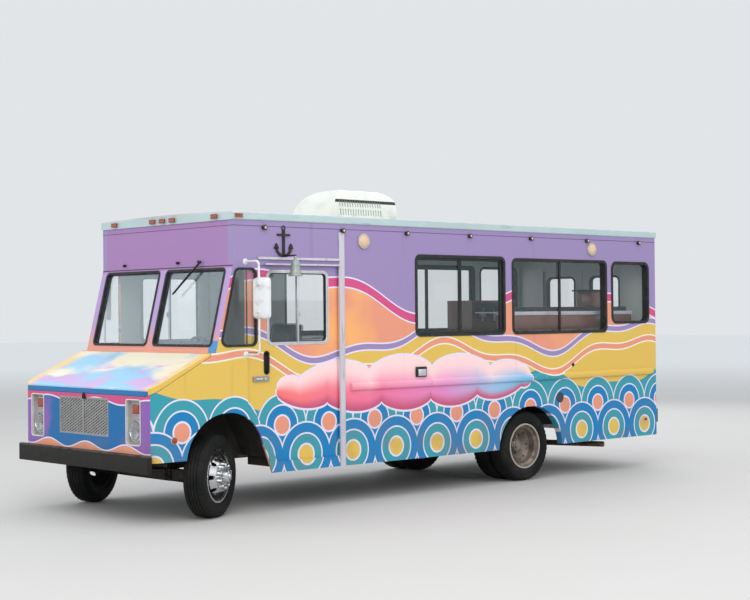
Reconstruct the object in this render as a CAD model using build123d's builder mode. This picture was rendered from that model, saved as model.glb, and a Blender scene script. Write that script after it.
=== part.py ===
from build123d import *
import os
from math import atan2, cos, degrees, radians, sin

os.makedirs("parts", exist_ok=True)

# Body shell. Places along the truck are measured back from the header's front face.
BODY_WIDTH = 2310
BODY_LENGTH = 6760
NOSE_LENGTH = 978
BODY_TOP = 2900
BODY_BOTTOM = 395
WALL = 80
SKIN = 25
CORNER_RADIUS = 110
HALF = BODY_WIDTH / 2
INNER = HALF - WALL

# Bumpers
BUMPER_REACH = 47
BUMPER_WIDTH = 2356
BUMPER_BOTTOM = 490
BUMPER_TOP = 664
BUMPER_RETURN = 155
BUMPER_END = 18
BUMPER_SHEET = 8
STEP_DEPTH = 125
STEP_INSET = 70
STEP_BOTTOM = 545
STEP_TOP = 715
STEP_PLATE = 8

# The origin is midway between the bumpers, on the ground.
HEADER_Y = (NOSE_LENGTH + BUMPER_REACH - BODY_LENGTH - STEP_DEPTH) / 2


def along(distance):
    """Place on the Y axis of a distance measured back from the header's front face."""
    return HEADER_Y + distance


NOSE = along(-NOSE_LENGTH)
REAR = along(BODY_LENGTH)

# Header, windscreen and belt
HEADER_BOTTOM = 2460
HEADER_DEPTH = 50
BELT = 1600
SCREEN_REACH = 214
SCREEN_FRAME = 55
COWL_REACH = 273
NOSE_TOP = 1275
NOSE_BOTTOM = 589
SCREEN_PANE = (1010, 800)
SCREEN_PANE_X = 555
SCREEN_PANE_Z = 2045
SCREEN_PANE_RADIUS = 55
PANE_THICKNESS = 6
PANE_INSET = 40
BULKHEAD = 20
GASKET_WIDTH = 24
GASKET_PROUD = 8

# Hood lid and the gaps round moving panels
HOOD_SHEET = 20
HOOD_LIP = 60
PANEL_GAP = 6
SEAT_GAP = 0.3

# Sliding doors
DOOR_FRONT = 173
DOOR_REAR = 1368
DOOR_LAP = 20
DOOR_THICKNESS = 32
DOOR_RECESS = 25
SILL_TOP = 505
GROOVE_DEPTH = 17
GROOVE_TOP = 32
DOOR_CLEARANCE = 7
POCKET_SIDE = 11
DOOR_TRAVEL = 880
DOOR_WINDOW = (840, 2038, 816, 757)
DOOR_WINDOW_RADIUS = 75
DOOR_FRAME = 34
DOOR_FRAME_PROUD = 5

# Wheel arches, as corners (along, height) of their arcs
ARCH_FRONT = [(-565, NOSE_BOTTOM), (-410, 890), (-80, 1018), (205, 930), (360, 690), (475, BODY_BOTTOM)]
ARCH_REAR = [(3795, BODY_BOTTOM), (3960, 730), (4350, 868), (4740, 730), (4905, BODY_BOTTOM)]
# Rear edge of the front arch's guard, where the door's lower corner is cut to pass it
GUARD = [(DOOR_FRONT, 1095), (294, 955), (424, 730), (539, 490), (545, BODY_BOTTOM)]

# Side windows: front edge, rear edge, bottom, top, corner radius, middle bar
SIDE_WINDOWS = [
    (2472, 3920, 1712, 2610, 75, True),
    (4035, 5778, 1712, 2598, 75, True),
    (5864, 6625, 1816, 2590, 95, False)]
SIDE_FRAME = 34

# Wheels and axles
TYRE_RADIUS = 405.5
TYRE_WIDTH = 225
FLANGE_RADIUS = 262
BEAD_RADIUS = 248
WELL_RADIUS = 218
RIM_HALF = 95
RIM_SHEET = 9
DISC_OFFSET = 135
DISC_THICKNESS = 12
HUB_RADIUS = 92
FRONT_AXLE = -212
WHEELBASE = 4521
REAR_AXLE = FRONT_AXLE + WHEELBASE
FRONT_WHEEL_X = 985
REAR_OUTER_X = 995
REAR_INNER_X = REAR_OUTER_X - 2 * DISC_OFFSET
KINGPIN_X = 880
KINGPIN_RADIUS = 20
BEARING_GAP = 0.3
STEER_REST = 28
SPINDLE_RADIUS = 32

# Chassis
RAIL_GAUGE = 864
RAIL_BOTTOM = 560
RAIL_TOP = 740
RAIL_FLANGE = 62
RAIL_SHEET = 8
FLOOR_BOTTOM = 760
FLOOR_TOP = 800
SILL_WIDTH = 60
SPRING_WIDTH = 64
SPRING_THICKNESS = 44
SPRING_HALF = 640
RADIATOR_PLACE = -880
AXLE_NOSE = 290
BRACKET = (40, 24)
JACK_PLACE = 1200
JACK_PAD = (160, 12)

# Roof and air conditioner
ROOF_OVERHANG = 13
RAIL_HEIGHT = 78
CROWN = 20
ROOF_SHEET = 40
AC_FRONT = 2000
AC_REAR = 2985
AC_WIDTH = 700
AC_HEIGHT = 374

# Kitchen
COUNTER_DEPTH = 550
COUNTER_TOP = 1668
COUNTER_FRONT = 2350
COUNTER_REAR = 6500


def arc_outline(points):
    """Arcs through each three corners of a wheel arch, then a straight run if a corner is left."""
    index = 0
    while index + 2 < len(points):
        ThreePointArc(*[(along(y), z) for y, z in points[index:index + 3]])
        index += 2
    if index + 1 < len(points):
        Line(*[(along(y), z) for y, z in points[index:index + 2]])


def wheel_plane(centre, axis):
    """Plane whose x runs out along a wheel's axis and whose y runs up its radius."""
    return Plane(origin=centre, x_dir=axis, z_dir=axis.cross(Vector(0, 0, 1)))


def publish(builder, name):
    builder.part.label = name
    export_step(builder.part, "parts/" + name + ".step")


SIDES = [("left", 1), ("right", -1)]

# Chassis rails, with the front bumper's brackets and a jacking pad under each
with BuildPart() as chassis_frame:
    rail_front = along(-NOSE_LENGTH + SKIN)
    rail_length = along(BODY_LENGTH - WALL) - rail_front
    for _, hand in SIDES:
        web = hand * RAIL_GAUGE / 2
        lip = hand * (RAIL_GAUGE / 2 - RAIL_FLANGE)
        inside = hand * (RAIL_GAUGE / 2 - RAIL_SHEET)
        with BuildSketch(Plane.XZ.offset(-rail_front)):
            with BuildLine():
                Polyline(
                    (web, RAIL_BOTTOM), (lip, RAIL_BOTTOM), (lip, RAIL_BOTTOM + RAIL_SHEET),
                    (inside, RAIL_BOTTOM + RAIL_SHEET), (inside, RAIL_TOP - RAIL_SHEET),
                    (lip, RAIL_TOP - RAIL_SHEET), (lip, RAIL_TOP), (web, RAIL_TOP), close=True)
            make_face()
        extrude(amount=-rail_length)
        # Bracket under the nose panel's lower edge, from the bumper's sheet to the rail
        bracket_front = NOSE - BUMPER_REACH + BUMPER_SHEET
        bracket_rear = rail_front + 90
        with Locations((web - hand * BRACKET[0] / 2, (bracket_front + bracket_rear) / 2,
                        RAIL_BOTTOM + BRACKET[1] / 2)):
            Box(BRACKET[0], bracket_rear - bracket_front, BRACKET[1])
        with Locations(((web + lip) / 2, along(JACK_PLACE), RAIL_BOTTOM - JACK_PAD[1] / 2)):
            Box(RAIL_FLANGE, *JACK_PAD)
publish(chassis_frame, "chassis_frame")

# Cross-members between the rails, and the cross sills and cab mounts that lie on them
CROSS_MEMBER = (90, 60)
LOW = RAIL_BOTTOM + CROSS_MEMBER[1] / 2
HIGH = RAIL_TOP - CROSS_MEMBER[1] / 2 - 15
# Place along the truck, height of the middle
CROSS_MEMBERS = [
    (RADIATOR_PLACE, LOW), (-560, LOW), (900, HIGH), (2150, HIGH), (3300, HIGH), (5350, HIGH), (6560, HIGH)]
CROSS_SILLS = [1500, 2300, 3100, 3700, 5000, 5800, 6600]
CAB_MOUNTS = [-100, 300]
CAB_MOUNT_REACH = 100
with BuildPart() as cross_members:
    for place, level in CROSS_MEMBERS:
        with Locations((0, along(place), level)):
            Box(RAIL_GAUGE - 2 * RAIL_SHEET, *CROSS_MEMBER)
    add(chassis_frame.part, mode=Mode.SUBTRACT)
    for places, sill_length in ((CROSS_SILLS, 2 * INNER), (CAB_MOUNTS, RAIL_GAUGE + 2 * CAB_MOUNT_REACH)):
        for place in places:
            with Locations((0, along(place), (RAIL_TOP + FLOOR_BOTTOM) / 2)):
                Box(sill_length, SILL_WIDTH, FLOOR_BOTTOM - RAIL_TOP)
publish(cross_members, "cross_members")

# Engine, as one block resting on the first cross-member
ENGINE = (600, 560, 560)
ENGINE_PLACE = -520
ENGINE_BOTTOM = RAIL_BOTTOM + 60
with BuildPart() as engine_block:
    with Locations((0, along(ENGINE_PLACE), ENGINE_BOTTOM + ENGINE[2] / 2)):
        Box(*ENGINE)
    chamfer(engine_block.edges().filter_by(Axis.Y).group_by(Axis.Z)[-1], 120)
publish(engine_block, "engine_block")

# Radiator core between its side tanks, standing on the first cross-member
RADIATOR = (730, 56, 520)
with BuildPart() as radiator:
    with Locations((0, along(RADIATOR_PLACE), ENGINE_BOTTOM + RADIATOR[2] / 2)):
        Box(RADIATOR[0] - 120, RADIATOR[1] - 20, RADIATOR[2])
    for _, hand in SIDES:
        tank_place = (hand * (RADIATOR[0] / 2 - 40), along(RADIATOR_PLACE), ENGINE_BOTTOM + RADIATOR[2] / 2)
        with Locations(tank_place):
            Box(80, RADIATOR[1], RADIATOR[2])
publish(radiator, "radiator")

# Drive shaft from the engine's rear down to the rear axle's nose
SHAFT_RADIUS = 40
SHAFT_START = Vector(0, along(ENGINE_PLACE) + ENGINE[1] / 2, ENGINE_BOTTOM + 45)
SHAFT_END = Vector(0, along(REAR_AXLE) - AXLE_NOSE, TYRE_RADIUS)
with BuildPart() as drive_shaft:
    shaft_line = (SHAFT_END - SHAFT_START).normalized()
    with BuildSketch(Plane(origin=SHAFT_START, z_dir=shaft_line)):
        Circle(SHAFT_RADIUS)
    extrude(amount=(SHAFT_END - SHAFT_START).length)
    add(engine_block.part, mode=Mode.SUBTRACT)

# Fuel tank outside the left rail, held by two straps
TANK = (540, 980, 300)
TANK_BOTTOM = 378
TANK_PLACE = 3060
TANK_RADIUS = 60
TANK_STRAPS = (2800, 3320)
TANK_STRAP = (120, 50, 50)
TANK_STRAP_Z = 640
with BuildPart() as fuel_tank:
    tank_x = RAIL_GAUGE / 2 + 40 + TANK[0] / 2
    with Locations((tank_x, along(TANK_PLACE), TANK_BOTTOM + TANK[2] / 2)):
        Box(*TANK)
    fillet(fuel_tank.edges().filter_by(Axis.Y), TANK_RADIUS)
    for place in TANK_STRAPS:
        with Locations((RAIL_GAUGE / 2 + TANK_STRAP[0] / 2, along(place), TANK_STRAP_Z)):
            Box(*TANK_STRAP)
publish(fuel_tank, "fuel_tank")

# Exhaust: pipe, silencer and tail pipe turned out behind the left rear wheel
PIPE_RADIUS = 34
with BuildPart() as exhaust:
    with BuildLine() as pipe_route:
        FilletPolyline(
            (250, along(-330), ENGINE_BOTTOM), (250, along(-330), 500), (250, along(3500), 500),
            (250, along(3900), 672), (250, along(4780), 672), (250, along(5180), 330),
            (330, along(5500), 330), (1080, along(5780), 330), radius=110)
    with BuildSketch(Plane(pipe_route.line @ 0, z_dir=pipe_route.line % 0)):
        Circle(PIPE_RADIUS)
    sweep()
    with Locations((250, along(2700), 500)):
        Cylinder(95, 620, rotation=(90, 0, 0))
    for place in (1500, 3200):
        with Locations((250 + 80, along(place), (500 + RAIL_BOTTOM) / 2)):
            Box(190, 24, RAIL_BOTTOM - 500)
publish(exhaust, "exhaust")

# Leaf springs, four packs, each clamped on its axle with its ends under the rail
AXLE_SEATS = [(FRONT_AXLE, 440), (REAR_AXLE, TYRE_RADIUS + 60)]
with BuildPart() as leaf_springs:
    for place, seat in AXLE_SEATS:
        for _, hand in SIDES:
            start = hand * (RAIL_GAUGE / 2 - 30) - SPRING_WIDTH / 2
            with BuildSketch(Plane.YZ.offset(start)):
                with BuildLine():
                    low = seat
                    high = RAIL_BOTTOM - 20
                    ThreePointArc(
                        (along(place - SPRING_HALF), high - SPRING_THICKNESS / 2),
                        (along(place), low), (along(place + SPRING_HALF), high - SPRING_THICKNESS / 2))
                    Line(
                        (along(place + SPRING_HALF), high - SPRING_THICKNESS / 2),
                        (along(place + SPRING_HALF), high))
                    ThreePointArc(
                        (along(place + SPRING_HALF), high), (along(place), low + SPRING_THICKNESS),
                        (along(place - SPRING_HALF), high))
                    Line(
                        (along(place - SPRING_HALF), high),
                        (along(place - SPRING_HALF), high - SPRING_THICKNESS / 2))
                make_face()
            extrude(amount=SPRING_WIDTH)
            for end in (-1, 1):
                hanger = along(place + end * (SPRING_HALF - 25))
                with Locations((start + SPRING_WIDTH / 2, hanger, RAIL_BOTTOM - 18)):
                    Box(SPRING_WIDTH - 10, 50, 36)
publish(leaf_springs, "leaf_springs")

# Front axle: a dropped beam with an upright eye for each king pin
EYE_HEIGHT = 90
with BuildPart() as front_axle:
    eye_inside = KINGPIN_X - 30
    with BuildSketch(Plane.XZ.offset(-along(FRONT_AXLE) + 40)):
        with BuildLine():
            Polyline(
                (-eye_inside, 445), (-620, 440), (-500, 440), (500, 440), (620, 440), (eye_inside, 445),
                (eye_inside, 370), (620, 350), (420, 320), (-420, 320), (-620, 350), (-eye_inside, 370),
                close=True)
        make_face()
    extrude(amount=-80)
    for _, hand in SIDES:
        with Locations((hand * KINGPIN_X, along(FRONT_AXLE), TYRE_RADIUS)):
            Cylinder(46, EYE_HEIGHT)
            Hole(KINGPIN_RADIUS + BEARING_GAP)
publish(front_axle, "front_axle")

# Rear axle: tubes into the final drive's round housing
with BuildPart() as rear_axle:
    with Locations((0, along(REAR_AXLE), TYRE_RADIUS)):
        Cylinder(60, 2 * 560, rotation=(0, 90, 0))
        Cylinder(SPINDLE_RADIUS, 2 * 900, rotation=(0, 90, 0))
        Cylinder(165, 200, rotation=(90, 0, 0))
    chamfer(rear_axle.faces().sort_by(Axis.Y)[0].edges(), 36)
    chamfer(rear_axle.faces().sort_by(Axis.Y)[-1].edges(), 36)
    with Locations((0, along(REAR_AXLE) - AXLE_NOSE / 2 - 30, TYRE_RADIUS)):
        Cylinder(45, AXLE_NOSE - 60, rotation=(90, 0, 0))
publish(rear_axle, "rear_axle")

with drive_shaft:
    add(rear_axle.part, mode=Mode.SUBTRACT)
publish(drive_shaft, "drive_shaft")

# Steering knuckles: a yoke on each king pin, the spindle and the arm to the tie rod
ARM_LENGTH = 130
ARM_THICKNESS = 24
ARM_GAP = 6
TIE_ROD_RADIUS = 16
TIE_EYE_HEIGHT = 26
TIE_PIN_RADIUS = 10
YOKE_GAP = 6
LUG_RADIUS = 44
LUG_THICKNESS = 30
LUG_INSIDE = EYE_HEIGHT / 2 + YOKE_GAP
LUG_LEVEL = LUG_INSIDE + LUG_THICKNESS / 2
KNUCKLE_FACE = 80
SPINDLE_REACH = 175
TIE_Z = TYRE_RADIUS - LUG_LEVEL - ARM_THICKNESS / 2 - ARM_GAP - TIE_EYE_HEIGHT / 2


def steered(out, back, height, hand):
    """Point beside a king pin, given outboard and rearward in the wheel's own frame at rest."""
    turn = radians(STEER_REST)
    return Vector(
        hand * KINGPIN_X + hand * out * cos(turn) - back * sin(turn),
        along(FRONT_AXLE) + hand * out * sin(turn) + back * cos(turn), height)


for side, hand in SIDES:
    axis = steered(1, 0, 0, hand) - steered(0, 0, 0, hand)
    with BuildPart() as knuckle:
        for level in (TYRE_RADIUS + LUG_LEVEL, TYRE_RADIUS - LUG_LEVEL):
            with Locations(steered(0, 0, level, hand)):
                Cylinder(LUG_RADIUS, LUG_THICKNESS)
            with Locations(Location(steered(KNUCKLE_FACE - 35, 0, level, hand), (0, 0, STEER_REST))):
                Box(60, 2 * LUG_RADIUS - 10, LUG_THICKNESS)
        with Locations(steered(0, 0, TYRE_RADIUS, hand)):
            Cylinder(KINGPIN_RADIUS, 2 * LUG_LEVEL + LUG_THICKNESS)
        with Locations(Location(steered(KNUCKLE_FACE - 12, 0, TYRE_RADIUS, hand), (0, 0, STEER_REST))):
            Box(24, 90, 2 * LUG_LEVEL + LUG_THICKNESS)
        with BuildSketch(Plane(origin=steered(KNUCKLE_FACE - 12, 0, TYRE_RADIUS, hand), z_dir=axis)):
            Circle(SPINDLE_RADIUS)
        extrude(amount=SPINDLE_REACH - KNUCKLE_FACE + 12)
        # Arm from the lower lug back to the tie rod's pin
        arm_level = TYRE_RADIUS - LUG_LEVEL
        with Locations(Location(steered(0, ARM_LENGTH / 2, arm_level, hand), (0, 0, STEER_REST))):
            Box(36, ARM_LENGTH + 36, ARM_THICKNESS)
        pin_length = arm_level - TIE_Z + TIE_EYE_HEIGHT / 2 + 4
        with Locations(steered(0, ARM_LENGTH, arm_level - pin_length / 2, hand)):
            Cylinder(TIE_PIN_RADIUS, pin_length)
    publish(knuckle, "knuckle_" + side)

# Tie rod between the two arms, parallel to the axle at every lock
with BuildPart() as tie_rod:
    pins = [steered(0, ARM_LENGTH, TIE_Z, hand) for _, hand in SIDES]
    with Locations((pins[0] + pins[1]) * 0.5):
        Cylinder(TIE_ROD_RADIUS, 2 * KINGPIN_X - 40, rotation=(0, 90, 0))
    for pin in pins:
        with Locations(pin):
            Cylinder(24, TIE_EYE_HEIGHT)
            Cylinder(TIE_PIN_RADIUS + BEARING_GAP, 2 * TIE_EYE_HEIGHT, mode=Mode.SUBTRACT)
publish(tie_rod, "tie_rod")

# Wheels. Profiles are corners (out along the axis, radius) about the rim's middle plane.
TYRE_PROFILE = [
    (-RIM_HALF + 8, BEAD_RADIUS + 3), (-RIM_HALF + 8, FLANGE_RADIUS + 1), (-TYRE_WIDTH / 2, 318),
    (-TYRE_WIDTH / 2 + 14, TYRE_RADIUS - 16),
    (-TYRE_WIDTH / 2 + 34, TYRE_RADIUS), (TYRE_WIDTH / 2 - 34, TYRE_RADIUS),
    (TYRE_WIDTH / 2 - 14, TYRE_RADIUS - 16), (TYRE_WIDTH / 2, 318), (RIM_HALF - 8, FLANGE_RADIUS + 1),
    (RIM_HALF - 8, BEAD_RADIUS + 3)]
RIM_PROFILE = [
    (-RIM_HALF, FLANGE_RADIUS), (-RIM_HALF + 8, FLANGE_RADIUS), (-RIM_HALF + 8, BEAD_RADIUS + 3),
    (-60, BEAD_RADIUS - 2), (-44, WELL_RADIUS), (44, WELL_RADIUS), (60, BEAD_RADIUS - 2),
    (RIM_HALF - 8, BEAD_RADIUS + 3), (RIM_HALF - 8, FLANGE_RADIUS), (RIM_HALF, FLANGE_RADIUS),
    (RIM_HALF, BEAD_RADIUS - 4), (62, BEAD_RADIUS - 12), (48, WELL_RADIUS - RIM_SHEET),
    (-48, WELL_RADIUS - RIM_SHEET), (-62, BEAD_RADIUS - 12), (-RIM_HALF, BEAD_RADIUS - 4)]


def disc_profile(dish):
    """Dished disc from the rim's well to its flat bolting face, which lies at dish."""
    out = 1 if dish > 0 else -1
    root = out * 20
    return [
        (root, WELL_RADIUS - 2), (root + out * DISC_THICKNESS, WELL_RADIUS - 2), (dish, 150), (dish, 60),
        (dish - out * DISC_THICKNESS, 60), (dish - out * DISC_THICKNESS, 146)]


def turned(profile, plane):
    """Solid of revolution of a profile about a wheel plane's own x axis, added to the open part."""
    with BuildSketch(plane) as outline:
        with BuildLine():
            Polyline(*profile, close=True)
        make_face()
    revolve(outline.sketch, axis=Axis(plane.origin, plane.x_dir))


HAND_HOLES = 8
HAND_HOLE_RADIUS = 22
HAND_HOLE_CIRCLE = 178
STUDS = 10
STUD_CIRCLE = 112
STUD_RADIUS = 13

for side, hand in SIDES:
    axis = steered(1, 0, 0, hand) - steered(0, 0, 0, hand)
    centre = steered(FRONT_WHEEL_X - KINGPIN_X, 0, TYRE_RADIUS, hand)
    plane = wheel_plane(centre, axis)
    face = Plane(origin=centre + axis * DISC_OFFSET, z_dir=axis)
    with BuildPart() as tyre:
        turned(TYRE_PROFILE, plane)
    publish(tyre, "tyre_front_" + side)
    with BuildPart() as rim:
        turned(RIM_PROFILE, plane)
        turned(disc_profile(DISC_OFFSET), plane)
        turned([(DISC_OFFSET - 150, SPINDLE_RADIUS + BEARING_GAP), (DISC_OFFSET - 150, 62),
                (DISC_OFFSET, 62), (DISC_OFFSET, HUB_RADIUS - 20), (DISC_OFFSET + 70, 58),
                (DISC_OFFSET + 78, 40), (DISC_OFFSET + 78, 0), (DISC_OFFSET - 60, 0),
                (DISC_OFFSET - 60, SPINDLE_RADIUS + BEARING_GAP)], plane)
        with BuildSketch(face):
            with PolarLocations(HAND_HOLE_CIRCLE, HAND_HOLES):
                Circle(HAND_HOLE_RADIUS)
        extrude(amount=-DISC_OFFSET, mode=Mode.SUBTRACT)
        with BuildSketch(face):
            with PolarLocations(STUD_CIRCLE, STUDS):
                RegularPolygon(STUD_RADIUS, 6)
        extrude(amount=34)
    publish(rim, "rim_front_" + side)

for side, hand in SIDES:
    axis = Vector(hand, 0, 0)
    with BuildPart() as tyres:
        for place in (REAR_OUTER_X, REAR_INNER_X):
            plane = wheel_plane(Vector(hand * place, along(REAR_AXLE), TYRE_RADIUS), axis)
            turned(TYRE_PROFILE, plane)
    publish(tyres, "tyres_rear_" + side)
    with BuildPart() as rims:
        outer = wheel_plane(Vector(hand * REAR_OUTER_X, along(REAR_AXLE), TYRE_RADIUS), axis)
        inner = wheel_plane(Vector(hand * REAR_INNER_X, along(REAR_AXLE), TYRE_RADIUS), axis)
        turned(RIM_PROFILE, outer)
        turned(disc_profile(-DISC_OFFSET), outer)
        turned(RIM_PROFILE, inner)
        turned(disc_profile(DISC_OFFSET), inner)
        # Brake drum and hub
        turned([(-110, SPINDLE_RADIUS + BEARING_GAP), (-110, 185), (DISC_OFFSET - DISC_THICKNESS, 185),
                (DISC_OFFSET - DISC_THICKNESS, 80), (DISC_OFFSET, 80), (DISC_OFFSET + 90, 72),
                (DISC_OFFSET + 105, 55), (DISC_OFFSET + 105, 0), (DISC_OFFSET + 60, 0),
                (DISC_OFFSET + 60, SPINDLE_RADIUS + BEARING_GAP)], inner)
        face = Plane(origin=outer.origin - axis * DISC_OFFSET, z_dir=axis)
        with BuildSketch(face.offset(-30)):
            with PolarLocations(HAND_HOLE_CIRCLE + 17, HAND_HOLES):
                Circle(HAND_HOLE_RADIUS - 12)
        extrude(amount=120, mode=Mode.SUBTRACT)
        with BuildSketch(face):
            with PolarLocations(STUD_CIRCLE, STUDS):
                RegularPolygon(STUD_RADIUS, 6)
        extrude(amount=40)
    publish(rims, "rims_rear_" + side)

# Floor, open at the rear wheels and stepped down inside each door
FLOOR_FRONT = BULKHEAD - SCREEN_REACH
WELL_INSIDE = 640
WELL_FRONT = 560
WELL_TREAD = 455
WELL_SHEET = 15
HOUSE_REAR = (3770, 4930, 905)
HOUSE_REAR_X = 560
HOUSE_SHEET = 12
with BuildPart() as floor:
    with BuildSketch(Plane.XY.offset(FLOOR_BOTTOM)):
        with BuildLine():
            Polyline(
                (-WELL_INSIDE, along(FLOOR_FRONT)), (WELL_INSIDE, along(FLOOR_FRONT)),
                (WELL_INSIDE, along(DOOR_REAR)),
                (INNER, along(DOOR_REAR)), (INNER, along(BODY_LENGTH - WALL)),
                (-INNER, along(BODY_LENGTH - WALL)), (-INNER, along(DOOR_REAR)),
                (-WELL_INSIDE, along(DOOR_REAR)), close=True)
        make_face()
        for _, hand in SIDES:
            with Locations((hand * (HOUSE_REAR_X + INNER) / 2, along((HOUSE_REAR[0] + HOUSE_REAR[1]) / 2))):
                Rectangle(INNER - HOUSE_REAR_X, HOUSE_REAR[1] - HOUSE_REAR[0], mode=Mode.SUBTRACT)
    extrude(amount=FLOOR_TOP - FLOOR_BOTTOM)
    for _, hand in SIDES:
        well_x = hand * (WELL_INSIDE + INNER) / 2
        well_width = INNER - WELL_INSIDE
        well_y = along((WELL_FRONT + DOOR_REAR) / 2)
        well_length = DOOR_REAR - WELL_FRONT
        with Locations((well_x, well_y, (WELL_TREAD - WELL_SHEET + FLOOR_TOP) / 2)):
            Box(well_width, well_length, FLOOR_TOP - WELL_TREAD + WELL_SHEET)
        with Locations((well_x + hand * WELL_SHEET, well_y, (WELL_TREAD + FLOOR_TOP) / 2 + 1)):
            Box(well_width, well_length - 2 * WELL_SHEET, FLOOR_TOP - WELL_TREAD + 2, mode=Mode.SUBTRACT)
publish(floor, "floor")

# Wheel houses: liners inside the arches
HOUSE_TOP = 1080
HOUSE_FRONT = [
    (-790, 300), (-790, HOUSE_TOP), (159, HOUSE_TOP), (280, 945), (410, 722), (525, 486), (531, 300)]
HOUSE_FRONT_BOTTOM = 545
with BuildPart() as wheel_houses:
    for _, hand in SIDES:
        for mode, inset in ((Mode.ADD, 0), (Mode.SUBTRACT, HOUSE_SHEET)):
            start = WELL_INSIDE + inset
            with BuildSketch(Plane.YZ.offset(hand * start)):
                with BuildLine():
                    Polyline(*[(along(y), z) for y, z in HOUSE_FRONT], close=True)
                make_face()
                if inset:
                    offset(amount=-inset)
            extrude(amount=hand * (HALF - SKIN - start), mode=mode)
        with Locations((hand * (WELL_INSIDE + HALF) / 2, along(-100), HOUSE_FRONT_BOTTOM / 2)):
            Box(HALF - WELL_INSIDE, 1600, HOUSE_FRONT_BOTTOM, mode=Mode.SUBTRACT)
        house_y = along((HOUSE_REAR[0] + HOUSE_REAR[1]) / 2)
        house_length = HOUSE_REAR[1] - HOUSE_REAR[0]
        house_x = hand * (HOUSE_REAR_X + INNER) / 2
        house_z = (FLOOR_BOTTOM + HOUSE_REAR[2]) / 2
        with Locations((house_x, house_y, house_z)):
            Box(INNER - HOUSE_REAR_X, house_length, HOUSE_REAR[2] - FLOOR_BOTTOM)
        with Locations((house_x + hand * HOUSE_SHEET, house_y, house_z - HOUSE_SHEET)):
            Box(INNER - HOUSE_REAR_X, house_length - 2 * HOUSE_SHEET, HOUSE_REAR[2] - FLOOR_BOTTOM,
                mode=Mode.SUBTRACT)
publish(wheel_houses, "wheel_houses")


def side_window_faces(inset):
    """Rounded outlines of the side windows in an open YZ sketch, drawn in by inset."""
    for front, rear, bottom, top, radius, _ in SIDE_WINDOWS:
        with Locations((along((front + rear) / 2), (bottom + top) / 2)):
            RectangleRounded(rear - front - 2 * inset, top - bottom - 2 * inset, radius - inset)


# Side walls, with windows, rear arch, doorway and the slot that the sliding door runs in
POCKET_OUT = HALF - DOOR_RECESS + POCKET_SIDE
POCKET_IN = HALF - DOOR_RECESS - DOOR_THICKNESS - POCKET_SIDE
GROOVE_FLOOR = SILL_TOP - GROOVE_DEPTH
GROOVE_CEILING = HEADER_BOTTOM + GROOVE_TOP
POCKET_END = DOOR_REAR + DOOR_LAP + DOOR_TRAVEL + DOOR_CLEARANCE + 3
for side, hand in SIDES:
    with BuildPart() as side_wall:
        with BuildSketch(Plane.YZ.offset(hand * INNER)):
            with BuildLine():
                Polyline(
                    (along(0), BODY_TOP), (REAR, BODY_TOP), (REAR, BODY_BOTTOM),
                    (along(GUARD[-1][0]), BODY_BOTTOM), (along(GUARD[-2][0]), GUARD[-2][1]),
                    (along(GUARD[-2][0]) - 7, SILL_TOP), (along(DOOR_REAR), SILL_TOP),
                    (along(DOOR_REAR), HEADER_BOTTOM), (along(0), HEADER_BOTTOM), close=True)
            make_face()
        extrude(amount=hand * WALL)
        with BuildSketch(Plane.YZ.offset(hand * INNER)):
            side_window_faces(0)
            with BuildLine():
                arc_outline(ARCH_REAR)
                Line((along(ARCH_REAR[-1][0]), BODY_BOTTOM), (along(ARCH_REAR[0][0]), BODY_BOTTOM))
            make_face()
        extrude(amount=hand * WALL, mode=Mode.SUBTRACT)
        slot_front = along(DOOR_FRONT)
        slot_rear = along(POCKET_END)
        with Locations((hand * (POCKET_IN + POCKET_OUT) / 2, (slot_front + slot_rear) / 2,
                        (GROOVE_FLOOR + GROOVE_CEILING) / 2)):
            Box(POCKET_OUT - POCKET_IN, slot_rear - slot_front, GROOVE_CEILING - GROOVE_FLOOR,
                mode=Mode.SUBTRACT)
    publish(side_wall, "side_wall_" + side)

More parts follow.
